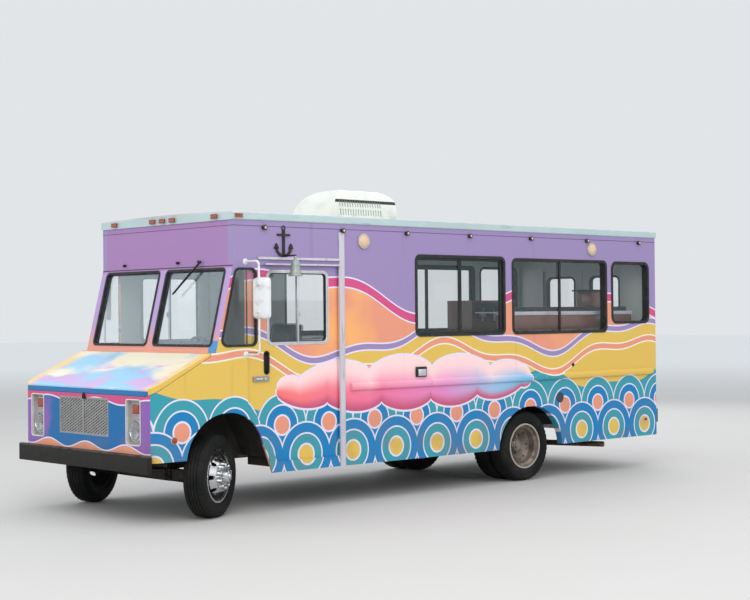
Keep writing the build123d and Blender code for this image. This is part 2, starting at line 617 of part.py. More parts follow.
# Sliding doors, with the lower front corner cut to pass the arch guard
DOOR_TOP = GROOVE_CEILING - DOOR_CLEARANCE
DOOR_BOTTOM = GROOVE_FLOOR + DOOR_CLEARANCE
HANDLE_Y = 427
HANDLE_Z = 1490
HANDLE_LENGTH = 200
LATCH = (18, 200, 52)
LATCH_Y = 350
LATCH_Z = 1332
for side, hand in SIDES:
    door_out = hand * (HALF - DOOR_RECESS)
    with BuildPart() as door:
        with BuildSketch(Plane.YZ.offset(door_out)):
            with BuildLine():
                Polyline(
                    (along(DOOR_FRONT) + PANEL_GAP, DOOR_TOP), (along(DOOR_REAR + DOOR_LAP), DOOR_TOP),
                    (along(DOOR_REAR + DOOR_LAP), DOOR_BOTTOM),
                    (along(GUARD[3][0]) + PANEL_GAP + 5, DOOR_BOTTOM),
                    *[(along(y) + PANEL_GAP + 2, z) for y, z in reversed(GUARD[1:3])],
                    (along(DOOR_FRONT) + PANEL_GAP, GUARD[0][1] + 6), close=True)
            make_face()
            with Locations((along(DOOR_WINDOW[0]), DOOR_WINDOW[1])):
                RectangleRounded(DOOR_WINDOW[2], DOOR_WINDOW[3], DOOR_WINDOW_RADIUS, mode=Mode.SUBTRACT)
        extrude(amount=-hand * DOOR_THICKNESS)
        # Shoes that run on the groove's floor
        for place in (DOOR_REAR - 680, DOOR_REAR - 120):
            with Locations((door_out - hand * DOOR_THICKNESS / 2, along(place),
                            (GROOVE_FLOOR + SEAT_GAP + DOOR_BOTTOM) / 2 + 5)):
                Box(20, 70, DOOR_BOTTOM - GROOVE_FLOOR - SEAT_GAP + 10)
        # Pull handle and latch case
        with Locations((door_out + hand * 26, along(HANDLE_Y), HANDLE_Z)):
            Cylinder(11, HANDLE_LENGTH)
        for end in (-1, 1):
            foot_z = HANDLE_Z + end * (HANDLE_LENGTH / 2 - 10)
            with Locations((door_out + hand * 14, along(HANDLE_Y), foot_z)):
                Box(30, 22, 22)
        with Locations((door_out + hand * LATCH[0] / 2 - hand, along(LATCH_Y), LATCH_Z)):
            Box(*LATCH)
    publish(door, "door_" + side)
    with BuildPart() as door_glass:
        with BuildSketch(Plane.YZ.offset(door_out + hand * DOOR_FRAME_PROUD)):
            with Locations((along(DOOR_WINDOW[0]), DOOR_WINDOW[1])):
                RectangleRounded(DOOR_WINDOW[2], DOOR_WINDOW[3], DOOR_WINDOW_RADIUS)
                RectangleRounded(
                    DOOR_WINDOW[2] - 2 * DOOR_FRAME, DOOR_WINDOW[3] - 2 * DOOR_FRAME,
                    DOOR_WINDOW_RADIUS - DOOR_FRAME, mode=Mode.SUBTRACT)
                Rectangle(26, DOOR_WINDOW[3] - DOOR_FRAME)
        extrude(amount=-hand * (DOOR_THICKNESS + 2 * DOOR_FRAME_PROUD))
        with BuildSketch(Plane.YZ.offset(door_out - hand * DOOR_THICKNESS / 2)):
            with Locations((along(DOOR_WINDOW[0]), DOOR_WINDOW[1])):
                Rectangle(DOOR_WINDOW[2] - 2 * DOOR_FRAME + 20, DOOR_WINDOW[3] - 2 * DOOR_FRAME + 20)
        extrude(amount=hand * PANE_THICKNESS)
    publish(door_glass, "door_glass_" + side)

# Cab front: header, raked windscreen frame and the quarter panels beside it
SCREEN_TILT = degrees(atan2(SCREEN_REACH, HEADER_BOTTOM - BELT))
screen_out = SCREEN_REACH * (HEADER_BOTTOM - SCREEN_PANE_Z) / (HEADER_BOTTOM - BELT)
screen_middle = Vector(0, along(-screen_out), SCREEN_PANE_Z)
screen_normal = Vector(0, -cos(radians(SCREEN_TILT)), sin(radians(SCREEN_TILT)))
screen_plane = Plane(origin=screen_middle, x_dir=(1, 0, 0), z_dir=screen_normal)
QUARTER_REAR = 325
QUARTER_WINDOW = [(-170, 1655), (293, 1655), (293, 2432), (20, 2432)]
QUARTER_RADIUS = 72


def quarter_face(inset):
    """Quarter window outline in an open YZ sketch, its front edge parallel to the windscreen."""
    with BuildSketch(Plane.XY, mode=Mode.PRIVATE) as outline:
        with BuildLine():
            Polyline(*[(along(y), z) for y, z in QUARTER_WINDOW], close=True)
        make_face()
        fillet(outline.vertices(), QUARTER_RADIUS)
        if inset:
            offset(amount=-inset)
    add(outline.sketch)


with BuildPart() as cab_front:
    with BuildSketch(Plane.YZ.offset(-HALF)):
        with BuildLine():
            Polyline(
                (along(0), HEADER_BOTTOM), (along(-SCREEN_REACH), BELT), (along(QUARTER_REAR), BELT),
                (along(QUARTER_REAR), HEADER_BOTTOM), close=True)
        make_face()
    extrude(amount=BODY_WIDTH)
    with BuildSketch(Plane.YZ.offset(-INNER)):
        with BuildLine():
            inside = SCREEN_FRAME / cos(radians(SCREEN_TILT))
            Polyline(
                (along(inside), HEADER_BOTTOM + 1), (along(inside - SCREEN_REACH), BELT - 1),
                (along(QUARTER_REAR + 1), BELT - 1), (along(QUARTER_REAR + 1), HEADER_BOTTOM + 1), close=True)
        make_face()
    extrude(amount=2 * INNER, mode=Mode.SUBTRACT)
    with BuildSketch(screen_plane):
        with Locations((-SCREEN_PANE_X, 0), (SCREEN_PANE_X, 0)):
            RectangleRounded(*SCREEN_PANE, SCREEN_PANE_RADIUS)
    extrude(amount=-2 * SCREEN_FRAME, mode=Mode.SUBTRACT)
    for _, hand in SIDES:
        # The sliding door passes behind the quarter panel's thin rear part
        with Locations((hand * (POCKET_OUT + INNER) / 2, along((DOOR_FRONT + QUARTER_REAR + 1) / 2),
                        (BELT + HEADER_BOTTOM) / 2)):
            Box(POCKET_OUT - INNER, QUARTER_REAR + 1 - DOOR_FRONT, HEADER_BOTTOM - BELT, mode=Mode.SUBTRACT)
        with BuildSketch(Plane.YZ.offset(hand * INNER)):
            quarter_face(0)
        extrude(amount=hand * WALL, mode=Mode.SUBTRACT)
    # Header panel between the side walls
    with Locations((0, along(HEADER_DEPTH / 2), (HEADER_BOTTOM + BODY_TOP) / 2)):
        Box(2 * INNER, HEADER_DEPTH, BODY_TOP - HEADER_BOTTOM)
    # Bulkhead behind the engine bay, down to the floor
    with Locations((0, along(-SCREEN_REACH + BULKHEAD / 2), (HOUSE_TOP + BELT) / 2)):
        Box(2 * (HALF - SKIN), BULKHEAD, BELT - HOUSE_TOP)
    with Locations((0, along(-SCREEN_REACH + BULKHEAD / 2), (FLOOR_BOTTOM + HOUSE_TOP) / 2)):
        Box(2 * WELL_INSIDE, BULKHEAD, HOUSE_TOP - FLOOR_BOTTOM)
publish(cab_front, "cab_front")

# Windscreen panes and rubber gaskets, with those of the quarter and side windows
with BuildPart() as windscreen_glass:
    with BuildSketch(screen_plane.offset(-SCREEN_FRAME / 2)):
        with Locations((-SCREEN_PANE_X, 0), (SCREEN_PANE_X, 0)):
            RectangleRounded(
                SCREEN_PANE[0] - 2 * GASKET_WIDTH, SCREEN_PANE[1] - 2 * GASKET_WIDTH,
                SCREEN_PANE_RADIUS - GASKET_WIDTH)
    extrude(amount=PANE_THICKNESS)
publish(windscreen_glass, "windscreen_glass")

with BuildPart() as window_gaskets:
    with BuildSketch(screen_plane.offset(GASKET_PROUD)):
        with Locations((-SCREEN_PANE_X, 0), (SCREEN_PANE_X, 0)):
            RectangleRounded(*SCREEN_PANE, SCREEN_PANE_RADIUS)
            RectangleRounded(
                SCREEN_PANE[0] - 2 * GASKET_WIDTH, SCREEN_PANE[1] - 2 * GASKET_WIDTH,
                SCREEN_PANE_RADIUS - GASKET_WIDTH, mode=Mode.SUBTRACT)
    extrude(amount=-SCREEN_FRAME - GASKET_PROUD)
    for _, hand in SIDES:
        with BuildSketch(Plane.YZ.offset(hand * POCKET_OUT)):
            quarter_face(0)
        extrude(amount=hand * (HALF - POCKET_OUT + GASKET_PROUD))
        with BuildSketch(Plane.YZ.offset(hand * POCKET_OUT)):
            quarter_face(GASKET_WIDTH)
        extrude(amount=hand * (HALF - POCKET_OUT + GASKET_PROUD), mode=Mode.SUBTRACT)
        with BuildSketch(Plane.YZ.offset(hand * INNER)):
            side_window_faces(0)
        extrude(amount=hand * (WALL + GASKET_PROUD))
        with BuildSketch(Plane.YZ.offset(hand * INNER)):
            side_window_faces(SIDE_FRAME)
        extrude(amount=hand * (WALL + GASKET_PROUD), mode=Mode.SUBTRACT)
        for front, rear, bottom, top, _, bar in SIDE_WINDOWS:
            if bar:
                bar_x = hand * (HALF - PANE_INSET + 16)
                with Locations((bar_x, along((front + rear) / 2), (bottom + top) / 2)):
                    Box(20, 30, top - bottom - 2 * SIDE_FRAME)
publish(window_gaskets, "window_gaskets")

with BuildPart() as side_glass:
    for _, hand in SIDES:
        with BuildSketch(Plane.YZ.offset(hand * (HALF - PANE_INSET))):
            side_window_faces(SIDE_FRAME)
        extrude(amount=hand * PANE_THICKNESS)
        with BuildSketch(Plane.YZ.offset(hand * (POCKET_OUT + 4))):
            quarter_face(GASKET_WIDTH)
        extrude(amount=hand * PANE_THICKNESS)
publish(side_glass, "side_glass")

# Roof: crowned sheet with a rail all round that stands proud of the walls
with BuildPart() as roof:
    edge = HALF + ROOF_OVERHANG
    rail_top = BODY_TOP + RAIL_HEIGHT
    with BuildSketch(Plane.XZ.offset(-along(-ROOF_OVERHANG))):
        with BuildLine():
            Line((-HALF + WALL, BODY_TOP), (-edge, BODY_TOP))
            Line((-edge, BODY_TOP), (-edge, rail_top))
            ThreePointArc((-edge, rail_top), (0, rail_top + CROWN), (edge, rail_top))
            Line((edge, rail_top), (edge, BODY_TOP))
            Line((edge, BODY_TOP), (HALF - WALL, BODY_TOP))
            ThreePointArc(
                (HALF - WALL, BODY_TOP), (0, rail_top + CROWN - ROOF_SHEET), (-HALF + WALL, BODY_TOP))
        make_face()
    extrude(amount=-(BODY_LENGTH + 2 * ROOF_OVERHANG))
    # End panels close the crown over the header and the rear frame
    for place in (-ROOF_OVERHANG, BODY_LENGTH - WALL):
        with Locations((0, along(place + (WALL + ROOF_OVERHANG) / 2), BODY_TOP + RAIL_HEIGHT / 2)):
            Box(2 * INNER, WALL + ROOF_OVERHANG, RAIL_HEIGHT)
    fillet(roof.edges().filter_by(Axis.Y).sort_by(Axis.X)[0:2], 12)
    fillet(roof.edges().filter_by(Axis.Y).sort_by(Axis.X)[-2:], 12)
publish(roof, "roof")

# Air conditioner: a cover rounded across and at both ends, with louvres in its sides
AC_SHOULDER = 150
AC_LOUVRES = 17
AC_BASE = BODY_TOP + RAIL_HEIGHT + CROWN
AC_TOP = AC_BASE + AC_HEIGHT
with BuildPart() as air_conditioner:
    with BuildSketch(Plane.XZ.offset(-along(AC_FRONT))):
        with BuildLine():
            Line((-AC_WIDTH / 2, AC_BASE), (-AC_WIDTH / 2 + 12, AC_BASE + AC_SHOULDER))
            ThreePointArc(
                (-AC_WIDTH / 2 + 12, AC_BASE + AC_SHOULDER), (-AC_WIDTH / 2 + 90, AC_TOP - 70),
                (-90, AC_TOP - 4))
            ThreePointArc((-90, AC_TOP - 4), (0, AC_TOP), (90, AC_TOP - 4))
            ThreePointArc(
                (90, AC_TOP - 4), (AC_WIDTH / 2 - 90, AC_TOP - 70),
                (AC_WIDTH / 2 - 12, AC_BASE + AC_SHOULDER))
            Line((AC_WIDTH / 2 - 12, AC_BASE + AC_SHOULDER), (AC_WIDTH / 2, AC_BASE))
            Line((AC_WIDTH / 2, AC_BASE), (-AC_WIDTH / 2, AC_BASE))
        make_face()
    extrude(amount=-(AC_REAR - AC_FRONT))
    with BuildSketch(Plane.YZ.offset(-AC_WIDTH / 2)):
        with BuildLine():
            ThreePointArc(
                (along(AC_FRONT), AC_BASE), (along(AC_FRONT + 95), AC_TOP - 110),
                (along(AC_FRONT + 330), AC_TOP + 1))
            Line((along(AC_FRONT + 330), AC_TOP + 1), (along(AC_REAR - 160), AC_TOP + 1))
            ThreePointArc(
                (along(AC_REAR - 160), AC_TOP + 1), (along(AC_REAR - 40), AC_TOP - 60),
                (along(AC_REAR), AC_BASE))
            Line((along(AC_REAR), AC_BASE), (along(AC_FRONT), AC_BASE))
        make_face()
    extrude(amount=AC_WIDTH, mode=Mode.INTERSECT)
    for _, hand in SIDES:
        for level, depth in ((AC_BASE + 105, 28), (AC_BASE + 200, 42)):
            with BuildSketch(Plane.YZ.offset(hand * (AC_WIDTH / 2 - depth))):
                with Locations((along(AC_FRONT + 430), level)):
                    with GridLocations(38, 10, AC_LOUVRES, 1):
                        Rectangle(16, 66)
            extrude(amount=hand * 60, mode=Mode.SUBTRACT)
publish(air_conditioner, "air_conditioner")

# Nose: side panels with the front arches, front panel, and a ledge under the hood's sides
slope = (BELT - NOSE_TOP) / (NOSE_LENGTH - COWL_REACH)
HOOD_REAR_DEPTH = 24

LAMP_X = 872
BEZEL = (250, 440)
BEZEL_Z = 963
BEZEL_DEPTH = 65
GRILLE = (890, 370)
GRILLE_Z = 990
with BuildPart() as front_clip:
    with BuildSketch(Plane.YZ.offset(-HALF)):
        with BuildLine():
            Polyline(
                (along(ARCH_FRONT[0][0]), ARCH_FRONT[0][1]), (NOSE, NOSE_BOTTOM),
                (NOSE, NOSE_TOP - HOOD_LIP - PANEL_GAP),
                (along(-COWL_REACH), BELT - HOOD_REAR_DEPTH - PANEL_GAP), (along(-COWL_REACH), BELT),
                (along(GUARD[0][0]), BELT), *[(along(y), z) for y, z in GUARD],
                (along(ARCH_FRONT[-1][0]), ARCH_FRONT[-1][1]))
            arc_outline(ARCH_FRONT)
        make_face()
    extrude(amount=BODY_WIDTH)
    nose_corners = front_clip.edges().filter_by(Axis.Z).group_by(Axis.Y)[0]
    fillet(nose_corners, CORNER_RADIUS)
    with BuildSketch(Plane.XY.offset(BODY_BOTTOM - 10)):
        with BuildLine():
            Polyline(
                (-HALF + SKIN, along(DOOR_FRONT + 500)), (-HALF + SKIN, NOSE + SKIN),
                (HALF - SKIN, NOSE + SKIN), (HALF - SKIN, along(DOOR_FRONT + 500)), close=True)
        make_face()
        fillet(vertices().group_by(Axis.Y)[0], CORNER_RADIUS - SKIN)
    extrude(amount=BELT, mode=Mode.SUBTRACT)
    for _, hand in SIDES:
        with BuildSketch(Plane.XZ.offset(-NOSE)):
            with Locations((hand * LAMP_X, BEZEL_Z)):
                RectangleRounded(*BEZEL, 30)
        extrude(amount=-SKIN, mode=Mode.SUBTRACT)
    with BuildSketch(Plane.XZ.offset(-NOSE)):
        with Locations((0, GRILLE_Z)):
            Rectangle(*GRILLE)
    extrude(amount=-SKIN, mode=Mode.SUBTRACT)
    # Cowl top across the truck, in front of the windscreen
    with Locations((0, along(-(COWL_REACH + SCREEN_REACH) / 2), BELT - 10)):
        Box(2 * (HALF - SKIN), COWL_REACH - SCREEN_REACH, 20)
    for _, hand in SIDES:
        with BuildSketch(Plane.YZ.offset(hand * (HALF - SKIN))):
            with BuildLine():
                rear, front = COWL_REACH + 12, NOSE_LENGTH - CORNER_RADIUS - 20
                drop = HOOD_SHEET / cos(atan2(BELT - NOSE_TOP, NOSE_LENGTH - COWL_REACH)) + SEAT_GAP + 0.1
                Polyline(
                    (along(-rear), BELT - slope * (rear - COWL_REACH) - drop),
                    (along(-front), BELT - slope * (front - COWL_REACH) - drop),
                    (along(-front), BELT - slope * (front - COWL_REACH) - 120),
                    (along(-rear), BELT - slope * (rear - COWL_REACH) - 120), close=True)
            make_face()
        extrude(amount=-hand * 20)
publish(front_clip, "front_clip")

# Hood: a sheet with a lip turned down all round, hinged at the cowl
with BuildPart() as hood:
    hood_rear = along(-COWL_REACH) - PANEL_GAP
    hood_rear_z = BELT - slope * PANEL_GAP
    with BuildSketch(Plane.YZ.offset(-HALF)):
        with BuildLine():
            Polyline(
                (hood_rear, hood_rear_z), (NOSE, NOSE_TOP), (NOSE, NOSE_TOP - HOOD_LIP),
                (hood_rear, hood_rear_z - HOOD_REAR_DEPTH), close=True)
        make_face()
    extrude(amount=BODY_WIDTH)
    fillet(hood.edges().filter_by(Axis.Z).group_by(Axis.Y)[0], CORNER_RADIUS)
    hood_sheet_drop = HOOD_SHEET / cos(atan2(BELT - NOSE_TOP, NOSE_LENGTH - COWL_REACH))
    with BuildPart(mode=Mode.PRIVATE) as hood_core:
        with BuildSketch(Plane.YZ.offset(-HALF + HOOD_SHEET)):
            with BuildLine():
                Polyline(
                    (hood_rear + 10, hood_rear_z + slope * 10 - hood_sheet_drop),
                    (NOSE + HOOD_SHEET, NOSE_TOP + slope * HOOD_SHEET - hood_sheet_drop),
                    (NOSE + HOOD_SHEET, NOSE_TOP - 300), (hood_rear + 10, NOSE_TOP - 300), close=True)
            make_face()
        extrude(amount=BODY_WIDTH - 2 * HOOD_SHEET)
        fillet(hood_core.edges().filter_by(Axis.Z).group_by(Axis.Y)[0], CORNER_RADIUS - HOOD_SHEET)
    add(hood_core.part, mode=Mode.SUBTRACT)
publish(hood, "hood")

# Grille: a sheet punched with slanted slots in staggered rows, in a frame with a middle bar
GRILLE_SHEET = 6
GRILLE_FRAME = 18
GRILLE_BAR = 26
GRILLE_BAR_X = -8
SLOT = (24, 12)
SLOT_SLANT = 12
SLOT_PITCH = (60, 14)
SLOT_COLUMNS = 14
SLOT_ROWS = 12


def slot():
    """Slanted slot in an open sketch, its short ends upright."""
    rise = SLOT_SLANT / 2
    half_length, half_height = SLOT[0] / 2, SLOT[1] / 2
    Polygon(
        (-half_length, -half_height - rise), (half_length, -half_height + rise),
        (half_length, half_height + rise), (-half_length, half_height - rise), align=None, mode=Mode.SUBTRACT)


with BuildPart() as grille:
    with BuildSketch(Plane.XZ.offset(-NOSE - GRILLE_SHEET)):
        with Locations((0, GRILLE_Z)):
            Rectangle(*GRILLE)
        # Two grids, the second moved by half a pitch each way
        for shift in (-1, 1):
            with Locations((shift * SLOT_PITCH[0] / 4, GRILLE_Z + shift * SLOT_PITCH[1] / 2)):
                with GridLocations(SLOT_PITCH[0], 2 * SLOT_PITCH[1], SLOT_COLUMNS, SLOT_ROWS):
                    slot()
    extrude(amount=-GRILLE_SHEET)
    with BuildSketch(Plane.XZ.offset(-NOSE)):
        with Locations((0, GRILLE_Z)):
            Rectangle(*GRILLE)
            Rectangle(GRILLE[0] - 2 * GRILLE_FRAME, GRILLE[1] - 2 * GRILLE_FRAME, mode=Mode.SUBTRACT)
        with Locations((GRILLE_BAR_X, GRILLE_Z)):
            Rectangle(GRILLE_BAR, GRILLE[1])
    extrude(amount=-2 * GRILLE_SHEET)
publish(grille, "grille")

# Headlamp bezels: recessed boxes, open to the front
with BuildPart() as lamp_bezels:
    for _, hand in SIDES:
        with BuildSketch(Plane.XZ.offset(-NOSE + 4)):
            with Locations((hand * LAMP_X, BEZEL_Z)):
                RectangleRounded(*BEZEL, 30)
        extrude(amount=-BEZEL_DEPTH - 4)
        with BuildSketch(Plane.XZ.offset(-NOSE + 4)):
            with Locations((hand * LAMP_X, BEZEL_Z)):
                RectangleRounded(BEZEL[0] - 20, BEZEL[1] - 20, 20)
        extrude(amount=-BEZEL_DEPTH + 2, mode=Mode.SUBTRACT)
publish(lamp_bezels, "lamp_bezels")

HEADLAMP_RADIUS = 92
HEADLAMP_Z = 885
with BuildPart() as headlamps:
    for _, hand in SIDES:
        with Locations((hand * LAMP_X, NOSE + BEZEL_DEPTH - 28, HEADLAMP_Z)):
            Cylinder(HEADLAMP_RADIUS, 44, rotation=(90, 0, 0))
    fillet(headlamps.faces().filter_by(Axis.Y).sort_by(Axis.Y)[0:2].edges(), 14)
publish(headlamps, "headlamps")

# Amber and red lamps: turn lamps, roof clearance lamps, side markers, tail lamps
TURN_LAMP = (112, 90)
ROOF_LAMP_X = [-890, -175, 0, 175, 890]
ROOF_LAMP_Z = BODY_TOP + 40
MARKER_Y = -712
MARKER_Z = 790
MARKER_RADIUS = 34
REAR_MARKER = (6530, 603)
TAIL_LAMP_X = 930
TAIL_LAMP_LEVELS = (1500, 1380)
TAIL_LAMP_RADIUS = 52
with BuildPart() as marker_lamps:
    for _, hand in SIDES:
        with Locations((hand * LAMP_X, NOSE + BEZEL_DEPTH - 22, 1085)):
            Box(TURN_LAMP[0], 32, TURN_LAMP[1])
        with Locations((hand * (HALF + 8), along(MARKER_Y), MARKER_Z)):
            Cylinder(MARKER_RADIUS, 16, rotation=(0, 90, 0))
        with Locations((hand * (HALF + 5), along(REAR_MARKER[0]), REAR_MARKER[1])):
            Box(10, 60, 40)
        with Locations((hand * (HALF + ROOF_OVERHANG + 10), along(60), ROOF_LAMP_Z)):
            Box(20, 80, 36)
        with Locations(*[(hand * TAIL_LAMP_X, REAR + 10, level) for level in TAIL_LAMP_LEVELS]):
            Cylinder(TAIL_LAMP_RADIUS, 20, rotation=(90, 0, 0))
        with Locations((hand * 980, REAR + 23, ROOF_LAMP_Z)):
            Box(90, 20, 36)
    for place in ROOF_LAMP_X:
        with Locations((place, along(-ROOF_OVERHANG - 12), ROOF_LAMP_Z)):
            Box(90, 24, 36)
publish(marker_lamps, "marker_lamps")

# Front bumper: a wide channel that wraps round the nose's corners
with BuildPart() as front_bumper:
    front = NOSE - BUMPER_REACH
    end = BUMPER_WIDTH / 2
    with BuildSketch(Plane.XY.offset(BUMPER_BOTTOM)):
        with BuildLine():
            Polyline(
                (-end, front + BUMPER_RETURN), (-end, front + 45), (-end + 60, front), (end - 60, front),
                (end, front + 45), (end, front + BUMPER_RETURN), (end - BUMPER_END, front + BUMPER_RETURN),
                (end - BUMPER_END, NOSE - 2), (-end + BUMPER_END, NOSE - 2),
                (-end + BUMPER_END, front + BUMPER_RETURN), close=True)
        make_face()
    extrude(amount=BUMPER_TOP - BUMPER_BOTTOM)
    # The channel is open behind its face
    with Locations((0, (front + BUMPER_SHEET + NOSE) / 2, (BUMPER_BOTTOM + BUMPER_TOP) / 2)):
        Box(2 * end - 120, NOSE - front - BUMPER_SHEET, BUMPER_TOP - BUMPER_BOTTOM - 2 * BUMPER_SHEET,
            mode=Mode.SUBTRACT)
publish(front_bumper, "front_bumper")

# Rear frame with the doorway, its door stops and the doors' hinge pins
DOORWAY_HALF = 700
DOORWAY_TOP = 2560
DOORWAY_Z = (FLOOR_TOP + DOORWAY_TOP) / 2
DOORWAY_HEIGHT = DOORWAY_TOP - FLOOR_TOP
STOP = (40, 12)
HINGE_X = DOORWAY_HALF + 14
HINGE_OUT = 14
HINGE_LEVELS = (1150, 2250)
HINGE_PIN_RADIUS = 6
HINGE_RADIUS = 12
HINGE_LENGTH = 100
HINGE_PLATE = 18
with BuildPart() as rear_frame:
    with Locations((0, REAR - WALL / 2, (BODY_BOTTOM + BODY_TOP) / 2)):
        Box(2 * INNER, WALL, BODY_TOP - BODY_BOTTOM)
    with Locations((0, REAR - WALL / 2, DOORWAY_Z)):
        Box(2 * DOORWAY_HALF, WALL, DOORWAY_HEIGHT, mode=Mode.SUBTRACT)
    with BuildSketch(Plane.XZ.offset(-REAR + WALL)):
        with Locations((0, DOORWAY_Z)):
            Rectangle(2 * DOORWAY_HALF, DOORWAY_HEIGHT)
            Rectangle(2 * DOORWAY_HALF - 2 * STOP[0], DOORWAY_HEIGHT - 2 * STOP[0], mode=Mode.SUBTRACT)
    extrude(amount=-STOP[1])
    for _, hand in SIDES:
        for level in HINGE_LEVELS:
            with Locations((hand * HINGE_X, REAR + HINGE_OUT, level)):
                Cylinder(HINGE_PIN_RADIUS, HINGE_LENGTH + 2 * PANEL_GAP + 2 * HINGE_PLATE)
            for end in (-1, 1):
                plate_z = level + end * (HINGE_LENGTH / 2 + PANEL_GAP + HINGE_PLATE / 2)
                with Locations((hand * (HINGE_X + 16), REAR + HINGE_OUT / 2 + 5, plate_z)):
                    Box(56, HINGE_OUT + 10, HINGE_PLATE)
publish(rear_frame, "rear_frame")

REAR_DOOR_THICKNESS = 45
for side, hand in SIDES:
    with BuildPart() as rear_door:
        width = DOORWAY_HALF - PANEL_GAP - PANEL_GAP / 2
        middle = hand * (PANEL_GAP / 2 + width / 2)
        with Locations((middle, REAR - REAR_DOOR_THICKNESS / 2, DOORWAY_Z)):
            Box(width, REAR_DOOR_THICKNESS, DOORWAY_HEIGHT - 2 * PANEL_GAP)
        # Weather strip that meets the stop beside the hinges
        strip = WALL - STOP[1] - REAR_DOOR_THICKNESS - SEAT_GAP
        with Locations((hand * (DOORWAY_HALF - 25), REAR - REAR_DOOR_THICKNESS - strip / 2, DOORWAY_Z)):
            Box(20, strip, DOORWAY_HEIGHT - 60)
        for level in HINGE_LEVELS:
            with Locations((hand * HINGE_X, REAR + HINGE_OUT, level)):
                Cylinder(HINGE_RADIUS, HINGE_LENGTH)
            with Locations((hand * (HINGE_X - 34), REAR + 5, level)):
                Box(64, 10, HINGE_LENGTH)
            with Locations((hand * HINGE_X, REAR + HINGE_OUT, level)):
                Cylinder(HINGE_PIN_RADIUS + BEARING_GAP, HINGE_LENGTH + 10, mode=Mode.SUBTRACT)
    publish(rear_door, "rear_door_" + side)

# Rear bumper step, a folded sheet open below
HITCH_HOLE_RADIUS = 13
PLATE_HOLES = (177.8, 120.65)
PLATE_HOLE_RADIUS = 3.5
with BuildPart() as rear_bumper:
    length = BODY_WIDTH - 2 * STEP_INSET
    with Locations((0, REAR + STEP_DEPTH / 2, (STEP_BOTTOM + STEP_TOP) / 2)):
        Box(length, STEP_DEPTH, STEP_TOP - STEP_BOTTOM)
        Box(length - 2 * STEP_PLATE, STEP_DEPTH - 2 * STEP_PLATE, STEP_TOP - STEP_BOTTOM, mode=Mode.SUBTRACT)
    with Locations((0, REAR + STEP_DEPTH / 2, STEP_TOP - STEP_PLATE / 2)):
        Box(length, STEP_DEPTH, STEP_PLATE)
    with Locations((0, REAR + STEP_DEPTH / 2, STEP_TOP)):
        Hole(HITCH_HOLE_RADIUS, STEP_PLATE + 1)
    with BuildSketch(Plane.XZ.offset(-REAR - STEP_DEPTH)):
        with Locations((0, (STEP_BOTTOM + STEP_TOP) / 2)):
            with GridLocations(*PLATE_HOLES, 2, 2):
                Circle(PLATE_HOLE_RADIUS)
    extrude(amount=STEP_PLATE, mode=Mode.SUBTRACT)
publish(rear_bumper, "rear_bumper")

# Rub rails along both sides
RUB_RAIL = (1516, 6668, 1208, 86)
with BuildPart() as rub_rails:
    for _, hand in SIDES:
        with Locations((hand * (HALF + 11), along((RUB_RAIL[0] + RUB_RAIL[1]) / 2), RUB_RAIL[2])):
            Box(22, RUB_RAIL[1] - RUB_RAIL[0], RUB_RAIL[3])
    fillet(rub_rails.edges().filter_by(Axis.Y).filter_by(lambda e: abs(e.center().X) > HALF + 20), 16)
publish(rub_rails, "rub_rails")

# Drip rails over the doors, and the post caps behind them
POST_TOP = BODY_TOP - 88
POST_REAR = 1442
DRIP_RAIL_REAR = 1385
# Front end along the truck, height of the middle, height
DRIP_RAILS = [(300, 2528, 24), (393, 2470, 16)]
with BuildPart() as door_rails:
    for _, hand in SIDES:
        for front, level, height in DRIP_RAILS:
            with Locations((hand * (HALF + 12), along((front + DRIP_RAIL_REAR) / 2), level)):
                Box(24, DRIP_RAIL_REAR - front, height)
        with Locations((hand * (HALF + 5), along((DOOR_REAR + POST_REAR) / 2), (BODY_BOTTOM + POST_TOP) / 2)):
            Box(10, POST_REAR - DOOR_REAR, POST_TOP - BODY_BOTTOM)
publish(door_rails, "door_rails")

# Door mirrors on looped arms
MIRROR_REACH = 215
MIRROR = (178, 406)
MIRROR_DEPTH = 62
MIRROR_RADIUS = 42
MIRROR_TURN = 24
MIRROR_ARM_RADIUS = 11
MIRROR_Y = 170
MIRROR_Z = 2128
ARM_TOP = 2490
ARM_BOTTOM = 1580
with BuildPart() as mirrors:
    for _, hand in SIDES:
        arm_y = along(MIRROR_Y - 20)
        arm_x = hand * (HALF + MIRROR_REACH)
        with BuildLine() as arm:
            FilletPolyline(
                (hand * HALF, arm_y, ARM_TOP), (arm_x, arm_y, ARM_TOP), (arm_x, arm_y, ARM_BOTTOM),
                (hand * HALF, arm_y, ARM_BOTTOM), radius=30)
        with BuildSketch(Plane(arm.line @ 0, z_dir=arm.line % 0)):
            Circle(MIRROR_ARM_RADIUS)
        sweep()
        facing = radians(hand * MIRROR_TURN)
        head_plane = Plane(
            origin=(arm_x, along(MIRROR_Y) + 8, MIRROR_Z), x_dir=(cos(facing), sin(facing), 0),
            z_dir=(sin(facing), -cos(facing), 0))
        with BuildSketch(head_plane):
            RectangleRounded(*MIRROR, MIRROR_RADIUS)
        extrude(amount=MIRROR_DEPTH / 2, both=True)
publish(mirrors, "mirrors")

# Wiper on the driver's pane, and the bare pivots of the others
WIPER_PIVOTS = [(-717, False), (252, False), (619, True)]
with BuildPart() as wiper:
    for place, fitted in WIPER_PIVOTS:
        with Locations((place, along(-13), 2500)):
            Cylinder(14, 26, rotation=(90, 0, 0))
        if fitted:
            arm_centre = screen_plane.origin + screen_plane.x_dir * (place - 150) + screen_plane.y_dir * 300
            blade_plane = screen_plane.offset(34)
            blade_plane.origin = arm_centre + screen_plane.z_dir * 34
            with Locations(blade_plane):
                Box(500, 12, 12, rotation=(0, 0, 42))
publish(wiper, "wiper")

